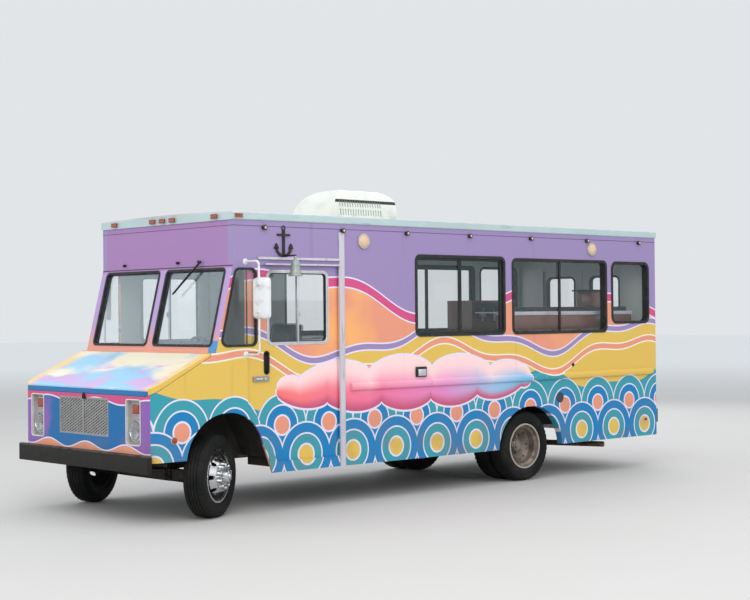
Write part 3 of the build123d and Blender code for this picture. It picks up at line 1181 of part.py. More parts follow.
# Porch lamps, and the small lamp holders along the top of the walls
PORCH_LAMPS = [1717, 5484]
SMALL_LAMPS = [382, 1421, 2346, 3330, 4363, 5390, 6409]
with BuildPart() as wall_lamps:
    for _, hand in SIDES:
        for place in PORCH_LAMPS:
            with Locations((hand * (HALF + 20), along(place), BODY_TOP - 170)):
                Cylinder(82, 40, rotation=(0, 90, 0))
        for place in SMALL_LAMPS:
            with Locations((hand * (HALF + 22), along(place), BODY_TOP - 70)):
                Cylinder(14, 44, rotation=(0, 90, 0))
publish(wall_lamps, "wall_lamps")

# Anchor-shaped bracket over the rail of the driver's door, and the bell under its arm
ANCHOR_Y = 632
ANCHOR_BOTTOM = 2541
ANCHOR_TOP = ANCHOR_BOTTOM + 274
ANCHOR_THICKNESS = 16
FLUKE_HALF = 105
FLUKE_WIDTH = 23
BELL_REACH = 190
BELL_TOP = 2548
with BuildPart() as bell_bracket:
    with BuildSketch(Plane.YZ.offset(HALF)):
        with Locations((along(ANCHOR_Y), (ANCHOR_BOTTOM + ANCHOR_TOP) / 2)):
            Rectangle(26, ANCHOR_TOP - ANCHOR_BOTTOM)
        with Locations((along(ANCHOR_Y), ANCHOR_TOP - 50)):
            Rectangle(150, 20)
        with BuildLine():
            fluke = ANCHOR_BOTTOM + 90
            left, right = along(ANCHOR_Y - FLUKE_HALF), along(ANCHOR_Y + FLUKE_HALF)
            ThreePointArc((left, fluke), (along(ANCHOR_Y), ANCHOR_BOTTOM), (right, fluke))
            Line((right, fluke), (right - FLUKE_WIDTH, fluke))
            ThreePointArc(
                (right - FLUKE_WIDTH, fluke), (along(ANCHOR_Y), ANCHOR_BOTTOM + 26),
                (left + FLUKE_WIDTH, fluke))
            Line((left + FLUKE_WIDTH, fluke), (left, fluke))
        make_face()
    extrude(amount=ANCHOR_THICKNESS)
    with Locations((HALF + (BELL_REACH + 8) / 2, along(ANCHOR_Y), BELL_TOP + 7)):
        Box(BELL_REACH + 8, 14, 14)
publish(bell_bracket, "bell_bracket")

with BuildPart() as door_bell:
    with BuildSketch(Plane.XZ.offset(-along(ANCHOR_Y))):
        with BuildLine():
            centre = HALF + BELL_REACH
            Polyline(
                (centre, BELL_TOP), (centre + 12, BELL_TOP), (centre + 16, BELL_TOP - 30),
                (centre + 44, BELL_TOP - 60), (centre + 50, BELL_TOP - 140), (centre + 72, BELL_TOP - 200),
                (centre + 62, BELL_TOP - 200), (centre + 38, BELL_TOP - 140), (centre + 32, BELL_TOP - 68),
                (centre, BELL_TOP - 60), close=True)
        make_face()
    revolve(axis=Axis((centre, along(ANCHOR_Y), 0), (0, 0, 1)))
publish(door_bell, "door_bell")

# Dashboard, engine cover, steering wheel and driver's seat
ENGINE_COVER = (620, 660, 440)
ENGINE_COVER_X = -60
with BuildPart() as dashboard:
    with BuildSketch(Plane.YZ.offset(-INNER)):
        with BuildLine():
            front = along(-SCREEN_REACH + BULKHEAD)
            Polyline(
                (front, 1280), (front + 60, BELT - 10), (front + 130, BELT - 10), (front + 270, BELT - 100),
                (front + 250, 1320), (front + 120, 1280), close=True)
        make_face()
    extrude(amount=2 * INNER)
    cover_front = along(-SCREEN_REACH + BULKHEAD)
    with Locations((ENGINE_COVER_X, cover_front + ENGINE_COVER[1] / 2, FLOOR_TOP + ENGINE_COVER[2] / 2)):
        Box(*ENGINE_COVER)
publish(dashboard, "dashboard")

WHEEL_X = 520
WHEEL_RADIUS = 215
GRIP_RADIUS = 14
with BuildPart() as steering_wheel:
    column_plane = Plane(origin=(WHEEL_X, along(190), 1610), x_dir=(1, 0, 0), z_dir=(0, 0.62, 0.78))
    with BuildSketch(Plane(column_plane.origin, x_dir=column_plane.z_dir, z_dir=column_plane.y_dir)):
        with Locations((0, WHEEL_RADIUS)):
            Circle(GRIP_RADIUS)
    revolve(axis=Axis(column_plane.origin, column_plane.z_dir))
    with BuildSketch(column_plane.offset(-12)):
        for turn in (0, 120, 240):
            with Locations(Location((0, 0, 0), (0, 0, turn + 30))):
                with Locations((WHEEL_RADIUS / 2, 0)):
                    Rectangle(WHEEL_RADIUS, 26)
        Circle(60)
    extrude(amount=14)
    with BuildSketch(column_plane):
        Circle(24)
    extrude(amount=-180)
    add(dashboard.part, mode=Mode.SUBTRACT)
publish(steering_wheel, "steering_wheel")

SEAT_BASE_TOP = 1120
with BuildPart() as driver_seat:
    with Locations((WHEEL_X, along(900), (FLOOR_TOP + SEAT_BASE_TOP) / 2)):
        Box(300, 300, SEAT_BASE_TOP - FLOOR_TOP)
    with Locations((WHEEL_X, along(880), 1190)):
        Box(480, 480, 140)
    with Locations(Location((WHEEL_X, along(1150), 1560), (-10, 0, 0))):
        Box(460, 110, 640)
publish(driver_seat, "driver_seat")

# Kitchen: base cabinets with steel tops along both walls, and a tall machine
MACHINE = (440, 520, 460)
MACHINE_PLACE = 5420
with BuildPart() as kitchen_counters:
    for _, hand in SIDES:
        middle = hand * (INNER - COUNTER_DEPTH / 2)
        with Locations((middle, along((COUNTER_FRONT + COUNTER_REAR) / 2), (FLOOR_TOP + COUNTER_TOP) / 2)):
            Box(COUNTER_DEPTH, COUNTER_REAR - COUNTER_FRONT, COUNTER_TOP - FLOOR_TOP)
        house_x = hand * (HOUSE_REAR_X + INNER - 10) / 2
        house_y = along((HOUSE_REAR[0] + HOUSE_REAR[1]) / 2)
        with Locations((house_x, house_y, (FLOOR_TOP + HOUSE_REAR[2]) / 2)):
            Box(INNER - HOUSE_REAR_X + 10, HOUSE_REAR[1] - HOUSE_REAR[0], HOUSE_REAR[2] - FLOOR_TOP + 0.6,
                mode=Mode.SUBTRACT)
publish(kitchen_counters, "kitchen_counters")

with BuildPart() as kitchen_machine:
    with Locations((-INNER + 300, along(MACHINE_PLACE), COUNTER_TOP + MACHINE[2] / 2)):
        Box(*MACHINE)
publish(kitchen_machine, "kitchen_machine")

# Serving shelf under the curb side's middle window
SHELF_DEPTH = 260
SHELF_THICKNESS = 30
SHELF_DROP = 85
with BuildPart() as serving_shelf:
    front, rear, bottom = SIDE_WINDOWS[1][:3]
    shelf_z = bottom - SHELF_DROP + SHELF_THICKNESS / 2
    with Locations((-HALF - SHELF_DEPTH / 2, along((front + rear) / 2), shelf_z)):
        Box(SHELF_DEPTH, rear - front, SHELF_THICKNESS)
    for place in (front + 200, (front + rear) / 2, rear - 200):
        with BuildSketch(Plane.XZ.offset(-along(place) - 10)):
            with BuildLine():
                Polyline(
                    (-HALF, bottom - SHELF_DROP), (-HALF - SHELF_DEPTH + 30, bottom - SHELF_DROP),
                    (-HALF, bottom - SHELF_DROP - 200), close=True)
            make_face()
        extrude(amount=20)
publish(serving_shelf, "serving_shelf")
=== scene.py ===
from functools import cached_property, partialmethod
from math import cos, pi, radians, sin, tau

import bmesh
import bpy
from mathutils import Matrix, Vector


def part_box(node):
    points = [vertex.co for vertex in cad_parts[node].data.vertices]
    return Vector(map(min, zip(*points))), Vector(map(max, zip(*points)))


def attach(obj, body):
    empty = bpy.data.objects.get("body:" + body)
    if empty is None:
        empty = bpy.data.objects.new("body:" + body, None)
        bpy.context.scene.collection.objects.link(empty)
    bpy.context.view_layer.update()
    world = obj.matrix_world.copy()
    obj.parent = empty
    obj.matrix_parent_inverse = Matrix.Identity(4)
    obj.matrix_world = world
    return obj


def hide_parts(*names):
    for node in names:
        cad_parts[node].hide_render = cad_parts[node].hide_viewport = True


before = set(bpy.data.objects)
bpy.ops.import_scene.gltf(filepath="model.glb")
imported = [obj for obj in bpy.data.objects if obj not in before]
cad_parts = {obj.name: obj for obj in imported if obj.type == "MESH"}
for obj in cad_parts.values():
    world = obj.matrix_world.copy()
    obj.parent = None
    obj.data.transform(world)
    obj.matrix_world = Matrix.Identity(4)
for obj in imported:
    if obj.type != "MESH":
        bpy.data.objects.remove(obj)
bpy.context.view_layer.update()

# Studio: the camera stands at the photograph's viewing angle, worked out from the truck's own
# corners, wheels and windows. A pale floor and large soft lamps stand round the truck.
PHOTO_WIDTH = 750
FOCAL_PIXELS = 1500.607
SENSOR_MM = 36.0
EYE = Vector((12.809, -11.834, 1.961))
YAW = radians(47.219)
PITCH = radians(-0.489)
ROLL = radians(-0.535)
FRAME_SHIFT = (-0.0002, 0.0020)
LAMP_TARGET = Vector((0, 0, 1.3))
backward = Vector((sin(YAW) * cos(PITCH), -cos(YAW) * cos(PITCH), sin(PITCH)))
level = Vector((0, 0, 1)).cross(backward).normalized()
upright = backward.cross(level)
camera_right = cos(ROLL) * level + sin(ROLL) * upright
camera_up = cos(ROLL) * upright - sin(ROLL) * level
camera = bpy.data.objects.new("camera", bpy.data.cameras.new("camera"))
camera.data.sensor_width = SENSOR_MM
camera.data.lens = FOCAL_PIXELS * SENSOR_MM / PHOTO_WIDTH
camera.data.shift_x, camera.data.shift_y = FRAME_SHIFT
camera.data.clip_end = 300
turn = Matrix((camera_right, camera_up, backward)).transposed()
camera.matrix_world = Matrix.Translation(EYE) @ turn.to_4x4()
bpy.context.scene.collection.objects.link(camera)
bpy.context.scene.camera = camera
bpy.context.scene.view_settings.view_transform = "Standard"
bpy.context.scene.view_settings.exposure = 0.0


def softbox(name, place, size, power, tint=(1, 1, 1)):
    """Large square lamp that shines at the middle of the truck."""
    lamp = bpy.data.lights.new(name, "AREA")
    lamp.size = size
    lamp.energy = power
    lamp.color = tint
    holder = bpy.data.objects.new(name, lamp)
    aim = (LAMP_TARGET - Vector(place)).to_track_quat("-Z", "Y").to_matrix().to_4x4()
    holder.matrix_world = Matrix.Translation(place) @ aim
    bpy.context.scene.collection.objects.link(holder)


softbox("key_softbox", (9, -10, 9), 9, 720, (1, 0.985, 0.96))
softbox("fill_softbox", (-8, -11, 6), 8, 260, (0.95, 0.98, 1))
softbox("side_softbox", (12, 4, 6), 8, 300)
softbox("back_softbox", (-7, 11, 8), 9, 420)
softbox("top_softbox", (0, 0, 12), 12, 420)
world = bpy.data.worlds.new("studio")
world.use_nodes = True
world.node_tree.nodes["Background"].inputs["Color"].default_value = (0.88, 0.91, 0.94, 1)
world.node_tree.nodes["Background"].inputs["Strength"].default_value = 0.86
bpy.context.scene.world = world


def linear(red, green, blue):
    """Linear colour of a display colour given from 0 to 255."""
    return tuple(
        part / 255 / 12.92 if part <= 10 else ((part / 255 + 0.055) / 1.055) ** 2.4
        for part in (red, green, blue))


class Shade:
    """A socket of a material. Arithmetic on it adds Math nodes to the material's tree."""

    def __init__(self, tree, socket=None):
        self.tree = tree
        self.socket = socket

    def feed(self, socket, value):
        """Links a Shade to a socket, or sets a number, vector or colour on it."""
        if isinstance(value, Shade):
            self.tree.links.new(value.socket, socket)
        elif socket.type == "RGBA":
            socket.default_value = (*value, 1)
        else:
            socket.default_value = value

    def node(self, kind, settings, values, output=0):
        """New node: first its settings, with a ramp's stops, then its sockets' values or links."""
        made = self.tree.nodes.new("ShaderNode" + kind)
        for name, setting in settings.items():
            if name == "stops":
                elements = made.color_ramp.elements
                elements.remove(elements[1])
                for index, (place, colour) in enumerate(setting):
                    stop = elements.new(place) if index else elements[0]
                    stop.position = place
                    stop.color = (*colour, 1)
            else:
                setattr(made, name, setting)
        for name, value in values.items():
            self.feed(made.inputs[name], value)
        return Shade(self.tree, made.outputs[output])

    def math(self, operation, *others):
        """Math node of this value and the others."""
        return self.node("Math", {"operation": operation}, dict(enumerate((self, *others))))

    __add__ = __radd__ = partialmethod(math, "ADD")
    __sub__ = partialmethod(math, "SUBTRACT")
    __mul__ = __rmul__ = partialmethod(math, "MULTIPLY")
    __truediv__ = partialmethod(math, "DIVIDE")
    __pow__ = partialmethod(math, "POWER")
    __gt__ = partialmethod(math, "GREATER_THAN")
    __lt__ = partialmethod(math, "LESS_THAN")
    __abs__ = partialmethod(math, "ABSOLUTE")
    most = partialmethod(math, "MAXIMUM")
    least = partialmethod(math, "MINIMUM")
    sine = partialmethod(math, "SINE")
    fraction = partialmethod(math, "FRACT")

    def __rsub__(self, other):
        return self.node("Math", {"operation": "SUBTRACT"}, {0: other, 1: self})

    def between(self, low, high):
        """1 inside the range, 0 outside it."""
        return (self > low) * (self < high)

    def fade(self, low, high):
        """Smooth rise from 0 at low to 1 at high."""
        settings = {"interpolation_type": "SMOOTHSTEP"}
        return self.node("MapRange", settings, {"Value": self, "From Min": low, "From Max": high})

    def mix(self, first, second):
        """First colour where this mask is 0, second colour where it is 1."""
        return self.node("Mix", {"data_type": "RGBA"}, {0: self, 6: first, 7: second}, 2)

    def ramp(self, *stops):
        """Colour ramp with stops of place and colour."""
        return self.node("ValToRGB", {"stops": stops}, {"Fac": self})


class Finish:
    """A surface finish: a material with one Principled shader, worked out in the truck's own frame."""

    def __init__(self, name, **constants):
        self.material = bpy.data.materials.new(name)
        self.material.use_nodes = True
        tree = self.material.node_tree
        self.shader = tree.nodes["Principled BSDF"]
        self.start = Shade(tree)
        for socket, value in constants.items():
            self.feed(socket.replace("_", " ").title().replace("Ior", "IOR"), value)

    def feed(self, socket, value):
        """Sets or links one of the shader's sockets."""
        self.start.feed(self.shader.inputs[socket], value)

    def split(self, vector):
        """The X, Y and Z of a vector."""
        return [self.start.node("SeparateXYZ", {}, {0: vector}, index) for index in range(3)]

    @cached_property
    def place(self):
        return self.start.node("TexCoord", {}, {}, "Object")

    @cached_property
    def parts(self):
        return self.split(self.place)

    @cached_property
    def facing(self):
        return self.split(self.start.node("TexCoord", {}, {}, "Normal"))

    @cached_property
    def edge(self):
        """Rises from 0, where the surface faces the viewer, to 1 at its edge."""
        return self.start.node("LayerWeight", {}, {"Blend": 0.5}, "Facing") ** 4

    def noise(self, scale, detail=3.0, stretch=(1, 1, 1)):
        """Cloudy value about 0.5, with its grain stretched along the axes."""
        spread = self.start.node("VectorMath", {"operation": "MULTIPLY"}, {0: self.place, 1: stretch})
        return self.start.node("TexNoise", {}, {"Vector": spread, "Scale": scale, "Detail": detail})

    def colour(self, value):
        self.feed("Base Color", value)

    def rough(self, value):
        self.feed("Roughness", value)

    def bump(self, height, distance, strength):
        values = {"Height": height, "Distance": distance, "Strength": strength}
        self.feed("Normal", self.start.node("Bump", {}, values))


STAGE_HALF = 90.0
stage_paint = Finish("stage_paint", roughness=0.75)
x, y, _ = stage_paint.parts
far = ((x * x + y * y) ** 0.5).fade(9.0, 45.0)
near_floor = stage_paint.noise(0.4).mix(linear(196, 195, 193), linear(203, 202, 200))
stage_paint.colour(far.mix(near_floor, linear(246, 248, 250)))
floor_mesh = bpy.data.meshes.new("studio_floor")
corners = [(a * STAGE_HALF, b * STAGE_HALF, 0) for a, b in ((-1, -1), (1, -1), (1, 1), (-1, 1))]
floor_mesh.from_pydata(corners, [], [(0, 1, 2, 3)])
floor_mesh.materials.append(stage_paint.material)
studio_floor = bpy.data.objects.new("studio_floor", floor_mesh)
bpy.context.scene.collection.objects.link(studio_floor)

# Painted body: aluminium sheets in a hand-sprayed, many-coloured scheme under clear lacquer.
# Wavy bands fall from lavender to peach and yellow, over rows of ringed scallops in blues.
(_, HEADER_Y, _), (WALL_X, REAR_Y, WALL_TOP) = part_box("side_wall_left")
NOSE_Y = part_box("front_clip")[0].y
DOOR_FACE = WALL_X - 0.025
LAVENDER = linear(152, 134, 180)
HEADER_PURPLE = linear(160, 120, 174)
PEACH = linear(228, 150, 122)
YELLOW = linear(222, 186, 88)
PINK = linear(208, 78, 130)
BLUE = linear(6, 124, 184)
TEAL = linear(54, 152, 168)
PALE = linear(226, 220, 240)
CREAM = linear(240, 232, 214)
LINER = linear(206, 208, 206)
LACQUER = {"coat_weight": 0.12, "coat_roughness": 0.12, "specular_ior_level": 0.22}
SCALLOP = 0.62
GROOVE_Z = 2.845
CLOUD_FRONT = 0.55
CLOUD_REAR = 4.35
CLOUD_Z = 1.20
CLOUD_LINE = 0.022


def coat(finish, *nodes):
    """Gives CAD nodes a finish through their own material slots."""
    for name in nodes:
        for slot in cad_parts[name].material_slots:
            slot.material = finish.material


def ribbon(colour, value, edge, width, paint, outline):
    """Paints a band that follows an edge, with a thin pale line on both of its sides."""
    off = abs(value - edge)
    lined = (off < width + 0.016).mix(colour, outline)
    return (off < width).mix(lined, paint)


def scallops(colour, run, z, centre, radius, offset, bands):
    """Paints a row of half discs of ringed colours; bands are of share of radius and colour."""
    across = ((run / SCALLOP + offset).fraction() - 0.5) * SCALLOP
    rise = z - centre
    distance = (across * across + rise * rise) ** 0.5
    for share, paint in bands:
        colour = (distance < radius * share).mix(colour, paint)
    return colour


def side_scheme(finish):
    """Colours of the truck's side from its nose to its rear."""
    run = finish.parts[1] - HEADER_Y
    z = finish.parts[2]
    first = 2.16 + 0.20 * (run * 1.55 + 0.4).sine() + 0.07 * (run * 4.1 + 1.0).sine()
    second = 1.66 + 0.15 * (run * 1.9 + 2.2).sine() + 0.06 * (run * 4.9).sine()
    third = 1.16 + 0.11 * (run * 2.3 + 4.0).sine() + 0.05 * (run * 5.3 + 2.0).sine()
    spray = finish.noise(1.3, 2.0)
    colour = (z > third).mix(TEAL, YELLOW)
    colour = (z > second).mix(colour, PEACH)
    colour = (z > first).mix(colour, LAVENDER)
    soft = (0.9 * spray + 0.2 * (z - second)).fade(0.42, 0.72)
    colour = (z.between(second, first) * soft).mix(colour, linear(244, 176, 110))
    colour = ribbon(colour, z, first, 0.045, PINK, PALE)
    colour = ribbon(colour, z, second + 0.02, 0.028, LAVENDER, PALE)
    colour = ribbon(colour, z, second - 0.20, 0.030, PEACH, CREAM)
    rings = [[(1.0, PALE), (0.95, wide), (0.66, PALE), (0.61, narrow), (0.34, PALE), (0.28, eye)]
             for wide, narrow, eye in ((TEAL, BLUE, PEACH), (BLUE, TEAL, YELLOW))]
    colour = scallops(colour, run, z, 0.86, 0.32, 0.5, rings[0])
    colour = scallops(colour, run, z, 0.55, 0.335, 0.0, rings[1])
    # A long puffy cloud in the middle of the side, coral at its front and pale blue at its rear
    across = (run - CLOUD_FRONT) / (CLOUD_REAR - CLOUD_FRONT)
    swell = (across * (1.0 - across) * 4.0).most(0.0) ** 0.35
    puffs = abs((run * 3.35 + 0.3).sine()) ** 0.6
    low_puffs = abs((run * 4.25 + 1.1).sine()) ** 0.6
    top = CLOUD_Z + swell * (0.17 + 0.15 * puffs)
    bottom = CLOUD_Z - swell * (0.16 + 0.11 * low_puffs)
    inside = across.between(0.0, 1.0) * (z < top) * (z > bottom)
    outline = across.between(-0.004, 1.004) * (z < top + CLOUD_LINE) * (z > bottom - CLOUD_LINE)
    tint = across.ramp(
        (0.0, linear(244, 120, 112)), (0.35, linear(240, 120, 160)), (0.62, linear(226, 140, 196)),
        (0.85, linear(150, 196, 230)), (1.0, linear(110, 186, 226)))
    height = (z - bottom) / (top - bottom)
    puffed = (height * 1.25 - 0.25 + 0.25 * spray).fade(0.25, 1.0).mix(tint, linear(252, 214, 214))
    shaded = height.fade(0.0, 0.30).mix(linear(196, 84, 120), puffed)
    return inside.mix(outline.least(1.0).mix(colour, PALE), shaded)


def weather(finish, colour, amount=1.0):
    """Adds road dust low down, faint run marks under the roof, and the groove of the top panel."""
    z = finish.parts[2]
    dust = (1.0 - z.fade(0.35, 1.15)) * finish.noise(3.0, 4.0).fade(0.35, 0.8) * 0.55 * amount
    colour = dust.mix(colour, linear(120, 108, 96))
    runs = finish.noise(9.0, 3.0, (1, 1, 0.05)).fade(0.62, 0.86) * 0.22 * amount
    colour = runs.mix(colour, linear(92, 84, 82))
    groove = (abs(z - GROOVE_Z) < 0.004) * 0.75
    finish.colour(groove.mix(colour, linear(60, 52, 66)))
    finish.rough(0.30 + 0.25 * finish.noise(5.0, 4.0) + 0.3 * dust)
    ripple = finish.noise(1.6, 2.0) * 0.6 + finish.noise(240.0, 2.0) * 0.02
    finish.bump(ripple - 0.35 * groove, 0.006, 0.35)


side_paint = Finish("side_paint", **LACQUER)
x, y, z = side_paint.parts
inward = side_paint.facing[0] * x < -0.2
sheet = inward.mix(side_scheme(side_paint), LINER)
# The doors' pull handles are black, and their latch cases grey
proud = (abs(x) > DOOR_FACE + 0.0005) * (y < HEADER_Y + 0.46)
sheet = (proud * z.between(1.30, 1.36)).mix(sheet, linear(146, 146, 142))
sheet = (proud * z.between(1.38, 1.60)).mix(sheet, linear(24, 24, 26))
weather(side_paint, sheet)
coat(side_paint, "side_wall_left", "side_wall_right", "door_left", "door_right", "rub_rails")

# Cab: the header, the raked windscreen frame and its pillars are painted purple in front, and
# the quarter panels carry on the scheme of the sides.
cab_paint = Finish("cab_paint", **LACQUER)
x, _, z = cab_paint.parts
outward = cab_paint.facing[0] * x > 0.5
pillar = (1.0 - z.fade(1.55, 1.95)).mix(linear(176, 150, 200), PEACH)
patch = (abs(x) > 1.02) * (z < 1.72)
pillar = (patch * (x > 0)).mix(pillar, linear(70, 140, 200))
front = (z > 2.43).mix(pillar, HEADER_PURPLE)
front = (abs(z - 2.452) < 0.006).mix(front, linear(50, 42, 52))
inner = (cab_paint.facing[1] > 0.3).mix(front, LINER)
weather(cab_paint, outward.mix(inner, side_scheme(cab_paint)), 0.7)
coat(cab_paint, "cab_front")

# Nose: its side sheets carry the sides' scheme, and the flat front panel is blue with purple and
# pink clouds beside the lamps and over the grille.
nose_paint = Finish("nose_paint", **LACQUER)
x, _, z = nose_paint.parts
cloud = (abs(x) * 1.1 + (nose_paint.noise(2.6, 2.0) - 0.5) * 0.9).fade(0.66, 0.98)
front = cloud.mix(linear(4, 104, 166), linear(140, 96, 176))
crest = 1.155 + 0.030 * (x * 7.0).sine()
foot = 0.700 + 0.035 * (x * 9.0 + 1.2).sine()
for area, paint in (
        (z > crest - 0.014, PALE), (z > crest, PINK), (z < foot + 0.014, PALE), (z < foot, PEACH)):
    front = area.mix(front, paint)
body = (nose_paint.facing[1] < -0.75).mix(side_scheme(nose_paint), front)
hidden = nose_paint.facing[0] * x < -0.2
weather(nose_paint, hidden.mix(body, linear(70, 62, 60)))
coat(nose_paint, "front_clip")

# Hood: one sheet with a turned-down lip. It is cream with sky-blue and lilac sprayed on near its
# front edge, and the lip is blue like the panel under it.
hood_paint = Finish("hood_paint", coat_weight=0.20, coat_roughness=0.10, specular_ior_level=0.3)
x, y, z = hood_paint.parts
ahead = (y - NOSE_Y) / 0.7
mist = hood_paint.noise(1.7, 2.5, (1.0, 1.5, 1.0))
streak = hood_paint.noise(3.4, 2.0, (0.6, 1.8, 1.0))
colour = (mist - 0.25 * ahead).fade(0.24, 0.48).mix(linear(244, 234, 208), linear(150, 206, 238))
colour = (streak - 0.20 * ahead).fade(0.42, 0.60).mix(colour, linear(204, 176, 224))
edge_glow = (abs(x) * 0.9 + 0.4 * mist).fade(1.02, 1.22)
colour = edge_glow.mix(colour, linear(244, 208, 128))
lip = (z < 1.262).mix(colour, linear(4, 110, 172))
lip = ((hood_paint.facing[2] < 0.3) * (abs(x) > 1.10)).mix(lip, YELLOW)
hood_paint.colour((hood_paint.noise(60, 3.0).fade(0.66, 0.74) * 0.5).mix(lip, linear(150, 140, 128)))
hood_paint.rough(0.26 + 0.2 * hood_paint.noise(4.0))
hood_paint.bump(hood_paint.noise(1.4, 2.0), 0.010, 0.3)
coat(hood_paint, "hood")

# Rear: the frame and the two doors are lavender over a pink foot with a pale line between them.
# Road film rises from the bottom.
rear_paint = Finish("rear_paint", coat_weight=0.12, coat_roughness=0.15, specular_ior_level=0.22)
x, _, z = rear_paint.parts
band = 1.05 + 0.06 * (x * 3.2).sine()
colour = (z > band).mix(linear(206, 92, 140), LAVENDER)
colour = (abs(z - band) < 0.018).mix(colour, PALE)
weather(rear_paint, (rear_paint.facing[1] < -0.5).mix(colour, LINER), 1.2)
coat(rear_paint, "rear_frame")

# Roof: one crowned aluminium skin, painted white, in an extruded edge rail that is riveted to
# the walls. Cross seams are sealed with a bead, and the rail is dull silver where paint is worn.
UP = Vector((0, 0, 1))
AHEAD = (0, -1, 0)
SIDES = (("left", 1), ("right", -1))
HANDS = (1, -1)
SHARP_EDGE = radians(32)


def spokes(axis, count):
    """Unit vectors evenly round an axis."""
    side = axis.orthogonal().normalized()
    other = axis.cross(side)
    return [side * cos(tau * step / count) + other * sin(tau * step / count) for step in range(count)]


class Build:
    """Gathers one piece's mesh in the truck's own frame, in metres."""

    def __init__(self):
        self.mesh = bmesh.new()

    def block(self, centre, size, bevel=0.0, turn=Matrix.Identity(3), segments=2):
        """Block with rounded edges."""
        corners = bmesh.ops.create_cube(self.mesh, size=1.0)["verts"]
        for corner in corners:
            corner.co = Vector(centre) + turn @ Vector([c * s for c, s in zip(corner.co, size)])
        if bevel:
            edges = list({edge for corner in corners for edge in corner.link_edges})
            bmesh.ops.bevel(
                self.mesh, geom=edges, offset=bevel, segments=segments, affect="EDGES", profile=0.5)

    def blocks(self, centres, size, bevel):
        """The same block at several places."""
        for centre in centres:
            self.block(centre, size, bevel)

    def lathe(self, profile, centre, axis, steps=32):
        """Turned form: corners of (out along the axis, radius) swept round an axis."""
        axis = Vector(axis).normalized()
        self.skin([
            [self.mesh.verts.new(Vector(centre) + axis * a + out * r) for a, r in profile]
            for out in spokes(axis, steps)], closed=True)

    def band(self, half, inner, outer, centre, axis, steps):
        """Turned band about its middle, or a pin where its inner radius is 0."""
        self.lathe([(-half, inner), (-half, outer), (half, outer), (half, inner)], centre, axis, steps)

    def dome(self, centre, axis, radius, height=None, steps=8):
        """Low round head, as of a rivet or screw."""
        height = height or radius * 0.55
        rise = [(height * sin(pi / 2 * k / 3), radius * cos(pi / 2 * k / 3)) for k in range(1, 4)]
        self.lathe([(0, radius), *rise], centre, axis, steps)

    def skin(self, rings, closed=False):
        """Faces between rows of points, and from the last row to the first if closed."""
        for index in range(len(rings) if closed else len(rings) - 1):
            first, second = rings[index], rings[(index + 1) % len(rings)]
            for place in range(len(first) - 1):
                self.mesh.faces.new((first[place], second[place], second[place + 1], first[place + 1]))

    def loft(self, rings):
        """Skin between closed rings, with its two ends capped."""
        self.skin(rings)
        for ring in (rings[0], rings[-1]):
            self.mesh.faces.new(ring[:-1])

    def loop(self, points):
        """New corners at points, as a ring that ends where it starts."""
        ring = [self.mesh.verts.new(point) for point in points]
        return ring + ring[:1]

    def ring(self, outline, rise, origin, right):
        """Ring of an outline drawn on right and up, raised off its plane."""
        lift = Vector(origin) + Vector(right).cross(UP) * rise
        return self.loop([lift + Vector(right) * a + UP * b for a, b in outline])

    def plate(self, outline, thickness, origin, right):
        """Flat plate of an outline, with its back at the origin."""
        self.loft([self.ring(outline, rise, origin, right) for rise in (0, thickness)])

    def frame(self, outer, inner, thickness, origin, right):
        """Flat ring between two outlines with the same number of points."""
        corners = ((inner, 0), (outer, 0), (outer, thickness), (inner, thickness))
        self.skin([self.ring(outline, rise, origin, right) for outline, rise in corners], closed=True)

    def moulding(self, width, height, radius, profile, origin, right):
        """Bar bent round a rectangle with round corners; its section has (inset, out) corners."""
        rings = []
        for inset, rise in profile:
            outline = rounded(width - 2 * inset, height - 2 * inset, max(radius - inset, 0.002))
            rings.append(self.ring(outline, rise, origin, right))
        self.skin(rings, closed=True)

    def tube(self, points, radius, sides=12):
        """Round bar along points, closed at both ends."""
        points = [Vector(point) for point in points]
        across = (points[1] - points[0]).orthogonal().normalized()
        turns = [tau * side / sides for side in range(sides)]
        rings = []
        for index, point in enumerate(points):
            ahead = points[min(index + 1, len(points) - 1)] - points[max(index - 1, 0)]
            ahead.normalize()
            across = (across - ahead * across.dot(ahead)).normalized()
            other = ahead.cross(across)
            rings.append(self.loop([point + (across * cos(t) + other * sin(t)) * radius for t in turns]))
        self.loft(rings)

    def finish(self, name, slot, finish, body="truck", replaces=()):
        """Closes the piece: one object that rides on its body, with its finish; the slot is not used."""
        bmesh.ops.remove_doubles(self.mesh, verts=self.mesh.verts, dist=1e-5)
        bmesh.ops.recalc_face_normals(self.mesh, faces=self.mesh.faces)
        data = bpy.data.meshes.new(name)
        self.mesh.to_mesh(data)
        self.mesh.free()
        data.materials.append(finish.material)
        data.shade_smooth()
        data.set_sharp_from_angle(angle=SHARP_EDGE)
        piece = bpy.data.objects.new(name, data)
        bpy.context.scene.collection.objects.link(piece)
        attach(piece, body)
        if replaces:
            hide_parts(*replaces)
        return piece


def rounded(width, height, radius, steps=6):
    """Outline of a rectangle with round corners about its own middle."""
    outline = []
    for quarter, (side, rise) in enumerate(((1, 1), (-1, 1), (-1, -1), (1, -1))):
        for step in range(steps + 1):
            turn = pi / 2 * (quarter + step / steps)
            outline.append((
                side * (width / 2 - radius) + radius * cos(turn),
                rise * (height / 2 - radius) + radius * sin(turn)))
    return outline


def along(distance):
    """Place on the Y axis of a distance measured back from the header's front face."""
    return HEADER_Y + distance


